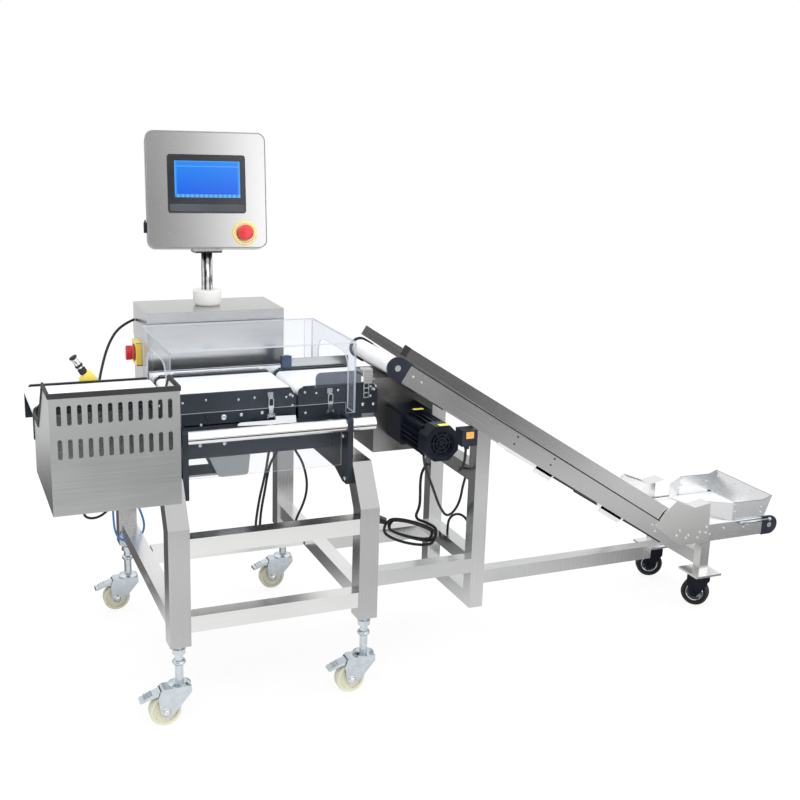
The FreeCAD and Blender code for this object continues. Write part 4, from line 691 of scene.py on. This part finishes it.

# %% [markdown]
# ## Cables
# Each cable's real length is listed with it. The routes repeat the imported model's points: a cable
# hangs in one smooth curve between its two ends, and the power cord goes on into a tied hank.

# %% Cables between fixed ends
CABLES = {
    "sensor_cable": (0.361, 3.5, sheath, [
        (46.8, 616.7, 867.5), (5, 592, 858), (-35, 547, 818), (-66, 482, 758), (-82, 425, 722),
        (-86, 390, 692), (-86, 370.1, 667.3)]),
    "motor_cable": (0.521, 3.5, sheath, [
        (658.9, 61.5, 595.4), (672, 84, 562), (700, 115, 518), (732, 150, 468), (763, 185, 417),
        (787, 211, 385), (812, 232, 356), (836, 247, 352), (858, 258, 366), (870, 261, 391),
        (869, 250, 428), (862, 225, 458), (856.5, 207.6, 481.5)]),
    "cell_cable": (0.375, 3.5, sheath, [
        (341.9, 320.5, 604.3), (341, 333, 574), (345, 362, 540), (354, 403, 505), (358, 430, 470),
        (354, 443, 430), (347, 450, 391), (341, 453, 350), (337, 458, 310), (337, 460, 274.8)]),
    "deck_cable": (0.294, 3.5, sheath, [
        (414.6, 469.7, 552.4), (408, 464, 530), (392, 455, 505), (374, 448, 480), (366, 446, 445),
        (361, 450, 405), (355, 455, 365), (350, 459, 320), (349, 461, 274.8)]),
    "cabinet_cable": (0.305, 3.5, sheath, [
        (440.4, 480.4, 552.4), (448, 488, 525), (464, 497, 497), (483, 500, 467), (494, 497, 432),
        (497, 489, 398), (491, 482, 365), (477, 475, 335), (459, 468, 308), (446.6, 461.3, 276.2)]),
    "nozzle_cable": (0.548, 3.5, sheath, [
        (-110, 363, 639.7), (-110, 366, 602), (-114, 385, 545), (-118, 430, 470),
        (-118, 500, 400), (-112, 565, 348), (-92, 608, 320), (-62, 635, 311), (-32, 663, 318),
        (-3, 692.3, 336.3)]),
    "junction_cable": (0.12, 3.5, sheath, [
        (811, 128, 578.7), (811, 129, 556), (811, 136, 532), (812, 152, 513),
        (815.5, 171, 505.5), (823, 186, 504), (829.9, 195, 504)]),
    "loop_cable": (0.202, 3.5, sheath, [
        (853, 300, 280.3), (853, 300, 300), (852, 290, 322), (855, 270, 341), (862, 248, 350),
        (868, 225, 348), (870, 206, 337), (869, 193, 318), (867, 186, 300), (867, 186, 280.3)]),
    "air_tube": (0.706, 3.0, air_blue, [
        (14, 606, 543.3), (12, 610, 500), (2, 625, 440), (-13, 645, 380), (-20, 654, 325),
        (-19, 656, 290), (-17, 656, 262), (-9, 656, 237), (12, 655, 222), (38, 655, 222),
        (59, 655, 237), (67, 655, 262), (62, 653, 292), (50, 650, 325), (40, 642, 375),
        (34, 628, 430), (34, 614, 490), (34, 608, 543.3)]),
}


def smooth_tube(name, points, radius, material):
    """A round tube along the smooth curve that the given points control."""
    data = bpy.data.curves.new(name, "CURVE")
    data.dimensions = "3D"
    data.bevel_depth = radius * MM
    data.bevel_resolution = 5
    data.use_fill_caps = True
    spline = data.splines.new("NURBS")
    spline.points.add(len(points) - 1)
    for point, place in zip(spline.points, points):
        point.co = (*place, 1.0)
    spline.order_u = 3
    spline.use_endpoint_u = True
    spline.resolution_u = 8
    data.materials.append(material)
    thing = put(name, data)
    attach(thing, "machine")
    return thing


for name, (length, radius, material, route) in CABLES.items():
    tube = smooth_tube(name, [at(*point) for point in route], radius, material)
    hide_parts("machine_cables")
    2 * radius * MM
print("hung", len(CABLES), "cables")

# %% [markdown]
# The power cord leaves the stand's post, drops into a hank of loose turns and ends at its plug.
# The turns wind along the hank's width, and each hangs a little differently at the bottom.

# %% Power cord
HANK = (
    Matrix.Translation(at(756, 334, 282))
    @ Matrix.Rotation(math.radians(-22), 4, "Z")
    @ Matrix.Rotation(math.radians(14), 4, "Y")
)
HANK_LENGTH, HANK_HEIGHT, HANK_WIDTH, STRAND = 152.0, 68.0, 38.0, 18.0
CORD_RADIUS = 4.0


def hank_turns():
    """Points of the cord's turns, from the top of the hank round to its raised end."""
    turns, steps = 3.46, 16
    straight = HANK_LENGTH / 2 - HANK_HEIGHT / 2
    middle = HANK_HEIGHT / 2 - STRAND / 2
    points = []
    for k in range(int(turns * steps) + 1):
        lap = k / steps
        angle = math.pi / 2 - 2 * math.pi * lap
        below = max(0.0, -math.sin(angle + 0.4))
        sag = 16.0 * below * (lap / turns - 0.3)
        radius = middle + 7.0 * math.cos(2 * math.pi * lap * 0.37) + sag
        shift = straight * max(-1.0, min(1.0, 1.6 * math.cos(angle)))
        width = (lap / turns - 0.5) * (HANK_WIDTH - 2 * CORD_RADIUS)
        spot = Vector((shift + radius * math.cos(angle), -width, radius * math.sin(angle)))
        points.append(HANK @ (spot * MM))
    return points


POWER_ROUTE = [(829.9, 403.2, 452.4), (812, 398, 436), (803, 388, 404), (799, 376, 370),
               (792, 361, 340)]
cord_points = [at(*point) for point in POWER_ROUTE] + hank_turns()
power = smooth_tube("power_lead", cord_points, CORD_RADIUS, sheath)
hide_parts("power_cord", "power_coil")
spans = [(b - a).length for a, b in zip(cord_points, cord_points[1:])]
print("power cord control length", round(sum(spans), 3), "m")

# %% [markdown]
# ## Display
# The display leans back and is turned a little towards the outfeed. Its face carries a black
# panel with a lit screen, a yellow ring round the stop button, and a plug on its left side.

# %% Display face
COLUMN_X, COLUMN_Y, DISPLAY_Z = 229, 545, 1217.6
LEAN = Matrix.Rotation(math.radians(-8.9), 4, "Z") @ Matrix.Rotation(math.radians(-10.3), 4, "X")
half_depth = LEAN @ Vector((0, 31, 0))
FACE = (
    Matrix.Translation(at(COLUMN_X - half_depth.x, COLUMN_Y - half_depth.y, DISPLAY_Z))
    @ LEAN
    @ Matrix.Scale(MM, 4)
)

panel = Piece("display_panel", "display_head_body", gloss_black, strip_grey, pose=FACE)
panel.prism("xz", oblong(-99.5, 99.5, -59.5, 89.5, 7), -5.6, 0.3)
panel.prism("xz", oblong(-96, 96, -56, -37, 3), -6.1, -5.0, 1)
panel.prism("xz", oblong(86, 91, 80, 83, 1), -5.9, -5.0, 1)
panel.done(0.5)
# Painted shade: a thin frame of darkened steel round the display's outline stands in for the shade
# along its rounded edge.
edge_shade = Piece("display_edge_shade", "display_head_body", painted_shade_steel, pose=FACE)
outer_edge_shade, inner_edge_shade = oblong(-153, 153, -148.5, 148.5, 21), oblong(-150.5, 150.5, -146, 146, 19)
edge_shade.hoop("xz", outer_edge_shade, inner_edge_shade, -0.35, 0.1)
edge_shade.done(0)


def display_screen():
    """The lit pane, with a flat map that runs from 0 to 1 across it and up it."""
    left, right, low, high, front = -82.0, 85.0, -20.0, 73.0, -5.9
    corners = [(left, front, low), (right, front, low), (right, front, high), (left, front, high)]
    mesh = bpy.data.meshes.new("display_screen")
    mesh.from_pydata([FACE @ Vector(c) for c in corners], [], [(0, 1, 2, 3)])
    flat = mesh.uv_layers.new(name="flat")
    for loop, spot in zip(flat.data, ((0, 0), (1, 0), (1, 1), (0, 1))):
        loop.uv = spot
    mesh.materials.append(screen)
    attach(put("display_screen", mesh), "display_head_body")


display_screen()
ring = Piece("stop_ring", "display_head_body", yellow, pose=FACE)
ring.turned([(22, 0.2), (32, 0.2), (32, 1.8), (29.5, 3.6), (23, 4.5), (22, 3.4)],
            (95, 0, -110), FRONT)
ring.done(0)
plug = Piece("display_plug", "display_head_body", black_plastic, pose=FACE)
plug.prism("yz", oblong(16, 34, -109, -82, 3), -162, -153.8)
plug.prism("yz", oblong(20, 30, -82, -76, 2), -160, -156)
plug.done(0.6)
clamp = Piece("display_clamp", "display_head_body", black_plastic)
clamp_foot = DISPLAY_Z - 163.9
half_x, half_y = 37.4, 22.4
clamp.block((COLUMN_X - half_x, COLUMN_X + half_x), (COLUMN_Y - half_y, COLUMN_Y + half_y),
            (clamp_foot, clamp_foot + 4.4), 0, 4)
clamp.done(0.5)
print("display dressed")

# %% [markdown]
# ## Cabinet, column and nozzle
# The main switch has a yellow face and a red handle. A nylon collar holds the polished column.

# %% Cabinet fittings
switch = Piece("switch_face", "machine", yellow, black_plastic)
switch.prism("yz", oblong(528.6, 591.4, 758.6, 821.4, 5), 34.6, 49)
switch.turned([(23, 0), (23, 1.4), (21, 2.0)], (34.8, 560, 790), LEFT, 1)
switch.done(0.8)
handle = Piece("switch_handle", "switch_knob_body", red)
handle.turned([(19, 0), (19, 4), (16, 7)], (34.4, 560, 790), LEFT)
handle.prism("yz", [(556, 771), (564, 771), (567, 778), (566, 802), (563, 809), (557, 809),
                    (554, 802), (553, 778)], 12.5, 28)
handle.done(0.8, ("switch_knob",), "red_plastic")
column = Piece("column_tube", "machine", column_steel)
column.turned([(14.5, 913), (14.5, 1058.9)], (COLUMN_X, COLUMN_Y, 0), steps=48)
column.done(0, ("display_column",), "polished_steel")
collar = Piece("column_collar", "machine", white_nylon)
collar.turned([(30, 913), (32, 914), (37.5, 922), (37.5, 953), (35, 955.2), (15.5, 955.2)],
              (COLUMN_X, COLUMN_Y, 0), steps=56)
collar.done(0.4, ("display_column",))
print("cabinet fittings made")

# %% [markdown]
# The blow-off nozzle stands behind the outfeed belt, on its rear side plate: a beige block, a
# yellow bracket and a bright barrel between black rings.

# %% Nozzle
PLATE_FRONT, PLATE_REAR = 165, 367
mount = Piece("nozzle_block", "machine", beige)
mount.block((-124, -90), (PLATE_REAR, PLATE_REAR + 26), (735, 762))
mount.done(0.6, ("air_nozzle",))
bracket = Piece("nozzle_bracket", "machine", label_yellow)
bracket.prism("xz", [(-130, 762), (-90, 762), (-88, 768), (-104, 788), (-116, 792), (-124, 778),
                     (-134, 770)], PLATE_REAR + 6, PLATE_REAR + 20)
bracket.done(0.8, ("air_nozzle",))
barrel_axis = Matrix.Rotation(math.radians(-32), 3, "Y") @ Vector((0, 0, 1))
barrel_foot = (-120, PLATE_REAR + 12, 784)
barrel = Piece("nozzle_barrel", "machine", polished, rubber)
barrel.turned([(8, 1), (8, 49)], barrel_foot, barrel_axis)
for start, length in ((0, 14), (20, 6), (45, 5)):
    band = [(9, start), (10, start + 1), (10, start + length - 1), (9, start + length)]
    barrel.turned(band, barrel_foot, barrel_axis, 1)
barrel.done(0, ("air_nozzle",))
print("nozzle made")

# %% [markdown]
# ## Cover, skirt and guides
# Clear pieces are drawn panel by panel, so that the sawn edges have a material of their own. The
# cover has a low sill at the front and an arch in each side.

# %% Clear cover
left, right, front, rear = 34, 491, 109, 437
foot, top, wall, lip, leg = 706.3, 885, 4, 25, 50
sill, arch_top = 734, 845
cover = Piece("cover_panels", "acrylic_cover_body", acrylic, acrylic_edge)
cover.prism("xy", oblong(left, right, front, rear, 3), top - wall, top, 0, 1)
front_outline = [
    (left, foot), (left + lip, foot), (left + lip, sill), (right - lip, sill),
    (right - lip, foot), (right, foot), (right, top - wall), (left, top - wall)]
cover.prism("xz", front_outline, front, front + wall, 0, 1)
arch = [
    (front + wall, foot), (front + leg, foot), (front + leg, arch_top - 42),
    (front + leg + 6, arch_top - 22), (front + leg + 18, arch_top - 7),
    (front + leg + 40, arch_top), (rear - leg - 40, arch_top), (rear - leg - 18, arch_top - 7),
    (rear - leg - 6, arch_top - 22), (rear - leg, arch_top - 42), (rear - leg, foot),
    (rear, foot), (rear, top - wall), (front + wall, top - wall)]
for low in (left, right - wall):
    cover.prism("yz", arch, low, low + wall, 0, 1)
for low in (left + wall, right - lip):
    cover.prism("xz", [(low, foot), (low + lip - wall, foot), (low + lip - wall, top - wall),
                       (low, top - wall)], rear - wall, rear, 0, 1)
cover.done(0.5, ("acrylic_cover",), "clear_acrylic")

skirt = Piece("drip_skirt", "machine", drip_sheet, smoked_edge)
skirt.prism("xz", [(64.3, 576), (454.2, 576), (454.2, 668), (64.3, 668)], 104, 107, 0, 1)
skirt.done(0.4, ("clear_skirt",), "smoked_acrylic")
print("cover and skirt made")

# %% [markdown]
# Two toggle latches hold the weighing belt's frame: each is a lever with a pull loop, on a base of
# its own. Between and behind them stand a clear front guide, a rear fence and a sensor arm.

# %% Latches and guides
LATCHES = {"left": 290, "right": 443}
for side, x in LATCHES.items():
    lever = Piece("latch_" + side, "latch_lever_" + side + "_body", bright_screw)
    lever.prism("yz", [(PLATE_FRONT - 8, 697.8), (PLATE_FRONT - 2.7, 697.8),
                       (PLATE_FRONT - 2.7, 722), (PLATE_FRONT - 5, 727),
                       (PLATE_FRONT - 8.6, 727)], x - 5.6, x + 5.6)
    loop, gap = oblong(x - 7, x + 7, 720, 746.6, 5), oblong(x - 4.6, x + 4.6, 722.4, 744.2, 3.4)
    lever.hoop("xz", loop, gap, PLATE_FRONT - 8.8, PLATE_FRONT - 6)
    lever.done(0.3, ("latch_lever_" + side,), "zinc_steel")
guide = Piece("front_guide", "machine", smoked, smoked_edge)
guide.prism("xz", [(405, 762), (526, 768), (526, 789), (524, 796), (515, 800), (416, 800),
                   (408, 796), (405, 788)], PLATE_FRONT - 3, PLATE_FRONT, 0, 1)
guide.done(0.4, ("guide_plates",), "smoked_acrylic")
CLAMP, BASE = 1, 2
fence = Piece("rear_guide", "machine", steel_x, navy_clamp, zinc)
fence.block((405, 570), (PLATE_REAR + 6, PLATE_REAR + 9), (760, 792))
fence.prism("xy", [(383, PLATE_REAR), (409, PLATE_REAR), (409, PLATE_REAR + 6),
                   (405, PLATE_REAR + 6), (405, PLATE_REAR + 16), (383, PLATE_REAR + 16)],
            746, 800, CLAMP)
fence.prism("yz", [(PLATE_FRONT - 4, 764), (PLATE_FRONT, 764), (PLATE_FRONT, 797),
                   (PLATE_FRONT + 26, 797), (PLATE_FRONT + 26, 801), (PLATE_FRONT - 4, 801)],
            532, 556)
for low, high in ((532, 535), (545, 548)):
    fence.block((low, high), (PLATE_FRONT - 3, PLATE_FRONT), (727, 764), BASE)
for low in (727, 739, 751):
    fence.block((532, 548), (PLATE_FRONT - 3.4, PLATE_FRONT - 0.2), (low, low + 3), BASE)
for x in LATCHES.values():
    for low, high in ((-10, -7.5), (7.5, 10)):
        fence.block((x + low, x + high), (PLATE_FRONT - 9, PLATE_FRONT), (695, 707), BASE)
    fence.block((x - 7, x + 7), (PLATE_FRONT - 2, PLATE_FRONT), (745, 759), BASE)
    fence.turned([(2, x - 10), (2, x + 10)], (0, PLATE_FRONT - 5, 701), RIGHT, BASE, 16)
fence.done(0.3, ("guide_plates",))
print("latches and guides made")

# %% [markdown]
# ## Bin trim
# A black rubber strip is pushed on every top edge of the reject bin.

# %% Bin trim
trim = Piece("bin_trim", "reject_bin_body", rubber)
edge = [(-155, 868), (-50, 868), (66, 752), (160, 752)]
inner = [(-155, 859), (-53.7, 859), (62.3, 743), (160, 743)]
band = [(y, z + 2) for y, z in edge] + inner[::-1]
for low, high in ((-264, -259), (-3, 2)):
    trim.prism("yz", band, low, high)
trim.block((-264, 2), (-157, -152), (859, 870))
trim.block((-264, 2), (157, 162), (743, 754))
trim.done(0.8)
print("bin trimmed")

# %% [markdown]
# ## Drive and deck trim
# The motor carries two bare labels, the junction box a third. A folded rail with a comb of short
# dark marks stands behind the weighing belt, and a pale folded strip shows in front of it,
# between its frame and the front tube.

# %% Drive and deck trim
rail = Piece("rear_rail", "machine", steel_bright, strip_grey)
rail.block((37, 380), (370.6, 373.6), (742, 778))
rail.block((37, 380), (370.6, 380), (776, 778))
for mark in range(98, 322, 4):
    rail.block((mark, mark + 2), (369.9, 370.8), (768, 773), 1)
rail.done(0.2)
labels = Piece("drive_labels", "machine", label_yellow, label_orange)
labels.block((652, 679), (-41, -25), (698.8, 699.5))
labels.block((652, 680), (115, 127), (698.8, 699.5))
labels.prism("xz", oblong(800, 822, 612, 630, 1), 106.2, 107.2, 1)
labels.done(0.1)
strip = Piece("deck_strip", "machine", scraper_white)
strip.prism("xz", [(203.6, 684), (352.9, 679), (350.5, 699.6), (299.4, 701), (299.4, 691.5),
                   (212, 691.5), (206, 689)], 150, 153)
strip.done(0.5)
print("drive and deck trimmed")

# %% [markdown]
# The hopper at the feeder's foot has a rolled lip, screws and a rod along its side. The two
# castors below it have pressed rims.

# %% Hopper trim
NEAR_WALL, FAR_WALL = (134.3, 136.8), (395.2, 397.7)
tray = Piece("hopper_screws", "machine", bright_screw)
for x, z in ((1728, 318), (1728, 296), (1826, 300), (1826, 284)):
    for wall_face, _ in (NEAR_WALL, FAR_WALL):
        tray.screw((x, wall_face, z), FRONT, 3.2)
for y in (150, 225, 300, 378):
    tray.screw((1857.4, y, 320), (-0.93, 0, 0.36), 4)
tray.done(0)
# The lip is real, but its darkened steel paints the shade along the hopper's rim.
lip = Piece("hopper_lip", "machine", painted_shade_steel)
for wall_face, inner_face in (NEAR_WALL, FAR_WALL):
    lip.prism("xz", [(1722, 324.1), (1834.8, 322.1), (1862.8, 332.1), (1862.8, 333.2),
                     (1834.8, 323.2), (1722, 325.2)], wall_face, inner_face)
lip.prism("xz", [(1862.3, 332.1), (1865.6, 332.1), (1865.6, 333.2), (1862.3, 333.2)],
          NEAR_WALL[0], FAR_WALL[1])
lip.done(0.2)
rod = Piece("hopper_rod", "machine", zinc)
for x, radius, length in ((1742, 4, 112), (1746, 6, 8), (1850, 6, 8)):
    rod.turned([(radius, 0), (radius, length)], (x, 122, 262), RIGHT, steps=20)
rod.done(0)
for label, y, degrees in (("front", 158, -50), ("rear", 398, -25)):
    trail, radius = 8, 41
    turn = math.radians(degrees)
    away = Vector((-math.cos(turn), -math.sin(turn), 0))
    axle = Vector((-math.sin(turn), math.cos(turn), 0))
    hub = Vector((1640, y, radius)) + away * trail
    rim = Piece("tail_rim_" + label, "wheel_tail_" + label, zinc)
    for side in (-1, 1):
        rim.turned([(24, 8), (27, 10), (27, 12.5), (25, 14.4), (23, 13), (22, 9)], hub,
                   axle * side)
    rim.done(0.2)
print("hopper trimmed")

# %% [markdown]
# ## Castor trim
# Each castor has a ring on its threaded stem, a dark seal round its bearing cap and a nut on each
# end of its axle.

# %% Castor trim
CASTORS = {"front_left": (25, 25), "front_right": (493, 25), "rear_left": (25, 706),
           "rear_right": (493, 706)}
stems = Piece("stem_rings", "machine", zinc, rubber)
for x, y in CASTORS.values():
    stems.turned([(10, 148), (14.5, 150), (16, 153), (16, 156), (14.5, 159), (10, 161)], (x, y, 0))
    stems.turned([(21, 98.6), (25.5, 98.6), (25.5, 100.4), (21, 100.4)], (x, y, 0), slot=1)
stems.done(0)
NUT, WASHER = [(8.5, 0.0), (8.5, 4.5), (7, 5.6)], [(10.5, 0.0), (10.5, 1.2)]
CASTOR_TRAIL, HALF_FORK, WHEEL_RADIUS = 36, 19, 37.5
for label, (x, y) in CASTORS.items():
    nuts = Piece("axle_nuts_" + label, "fork_" + label, bright_screw)
    for side in (-1, 1):
        axle_end = (x - CASTOR_TRAIL, y + side * HALF_FORK, WHEEL_RADIUS)
        nuts.turned(NUT, axle_end, (0, side, 0), steps=6)
        nuts.turned(WASHER, axle_end, (0, side, 0))
    nuts.done(0)
print("castors trimmed")

# %% [markdown]
# ## Screws
# Bright cap screws hold the side plates and the brackets of the weighing deck.

# %% Deck screws
deck = Piece("deck_screws", "machine", bright_screw, black_plastic)
deck.turned([(16, -0.4), (16, 1.2), (14, 1.8)], (144, PLATE_FRONT, 710), FRONT, 1, 40)
for x, z, radius in ((74.7, 746.6, 3.2), (130.6, 750.6, 3.2), (210, 746, 3.4), (250, 748, 3.2),
                     (330, 744, 3.2), (346.5, 745.5, 3.6), (346, 722, 3.2), (173.7, 704.7, 7.5),
                     (216.9, 708.1, 4.6), (269, 709.1, 4.6), (118, 690, 3.6), (378, 752, 3.4),
                     (407.7, 748.4, 3.2), (464.7, 752.1, 3.6), (380, 700, 3.6),
                     (531.7, 710.6, 4.8), (560, 709.6, 4.2), (552, 731.5, 3.4),
                     (562, 747.7, 3.4), (552, 756, 3), (566, 755.5, 3), (-240, 742, 3.4),
                     (20, 744, 3.4)):
    deck.screw((x, PLATE_FRONT, z), FRONT, radius)
for x, z in ((115, 640), (175, 640), (520, 664), (490, 652)):
    deck.screw((x, PLATE_FRONT, z), FRONT, 5.5)
outside = ((82, 648), (98, 560), (78, 547), (412, 600))
inside = ((92, 655), (76, 550))
for x, side, places in (
    (50, -1, outside), (468.5, 1, outside), (64, 1, inside), (454.5, -1, inside)
):
    for y, z in places:
        deck.screw((x, y, z), (side, 0, 0), 5)
deck.done(0)
print("deck screwed")

# %% [markdown]
# On the feeder, places are given along the slope from its knee and above the belt's line. Each side
# has a plate, a guard over it, black strips that paint the shade in the gap between plate and guard
# and along the plate's lower edge, and screws; pale scrapers lie along the belt.

# %% Feeder sides
KNEE = Vector((1502.8, 0, 240))
UPHILL = Vector((-math.cos(SLOPE), 0, math.sin(SLOPE)))
ABOVE = Vector((math.sin(SLOPE), 0, math.cos(SLOPE)))


def on_slope(along, above, y):
    spot = KNEE + UPHILL * along + ABOVE * above
    return (spot.x, y, spot.z)


def slope_outline(*points):
    """An outline in X and Z, from points along and above the slope."""
    spots = [on_slope(along, above, 0) for along, above in points]
    return [(x, z) for x, _, z in spots]


# Painted shade: black strips along the gap between plate and guard and under the plate's lower
# edge.
GAP_SHADE_STRIPS = (
    slope_outline((1040, 23.5), (70, 23.5), (70, 27), (1040, 27)),
    slope_outline((1053, 33), (1071, 33), (1071, 60.6), (1053, 60.6)),
    slope_outline((476, -31), (304, -30), (304, -25), (476, -25)),
    slope_outline((190, -31), (30, -29), (30, -25), (190, -25)),
)
plates = Piece("side_plates", "machine", steel_plate)
guards = Piece("side_guards", "machine", steel_guard)
gap_shade = Piece("guard_gap_shade", "machine", rubber)
for plate, wall, edge in (
    ((131, 134), NEAR_WALL, (130.6, 134.2)), ((398, 401), FAR_WALL, (397.8, 401.4))
):
    plates.prism("xz", [(622.1, 768.1), (1495.2, 214), (1834.8, 214), (1834.8, 266),
                        (1510.4, 266), (649.9, 812)], *plate)
    guards.prism("xz", [(616.5, 841.5), (1478.6, 279), (1487.4, 333.8), (631, 864.3)], *wall)
    for outline in GAP_SHADE_STRIPS:
        gap_shade.prism("xz", outline, *edge)
plates.done(0.4, ("feeder_sides",), "stainless_steel")
guards.done(0.3, ("feeder_sides",))
gap_shade.done(0.2)
scraper = Piece("belt_scrapers", "machine", pale_strip)
for start, end, drop in ((690, 480, 33), (545, 478, 44), (300, 192, 33), (285, 200, 44)):
    slant = slope_outline((start, -25), (end, -25), (end + 6, -drop), (start, -drop))
    scraper.prism("xz", slant, 128.4, 130.9)
scraper.done(0.3)
print("feeder sides made")

# %% Feeder screws
PLUG = [(2.6, -0.4), (2.6, 0.9), (2.1, 1.4)]
feeder = Piece("feeder_screws", "machine", bright_screw, black_plastic)
for y, axis in ((131, FRONT), (401, BACK)):
    for along, above in ((1007, 2), (978.5, 1), (90, 4), (70, -8)):
        feeder.screw(on_slope(along, above, y), axis, 3.6)
    for along, above in ((643, 14), (642, -7), (504, 16), (505, -4)):
        feeder.turned(PLUG, on_slope(along, above, y), axis, 1, 16)
    for x, z in ((1690, 250), (1765, 244), (1780, 250), (1640, 236)):
        feeder.screw((x, y, z), axis, 3.6)
for y, axis in ((128, FRONT), (404, BACK)):
    for x, z in ((1527, 262), (1517, 247), (1552, 236), (1560, 243), (1600, 248), (1594, 232),
                 (1624, 262), (1622, 244)):
        feeder.screw((x, y, z), axis, 4.2)
feeder.done(0)
print("feeder screwed")
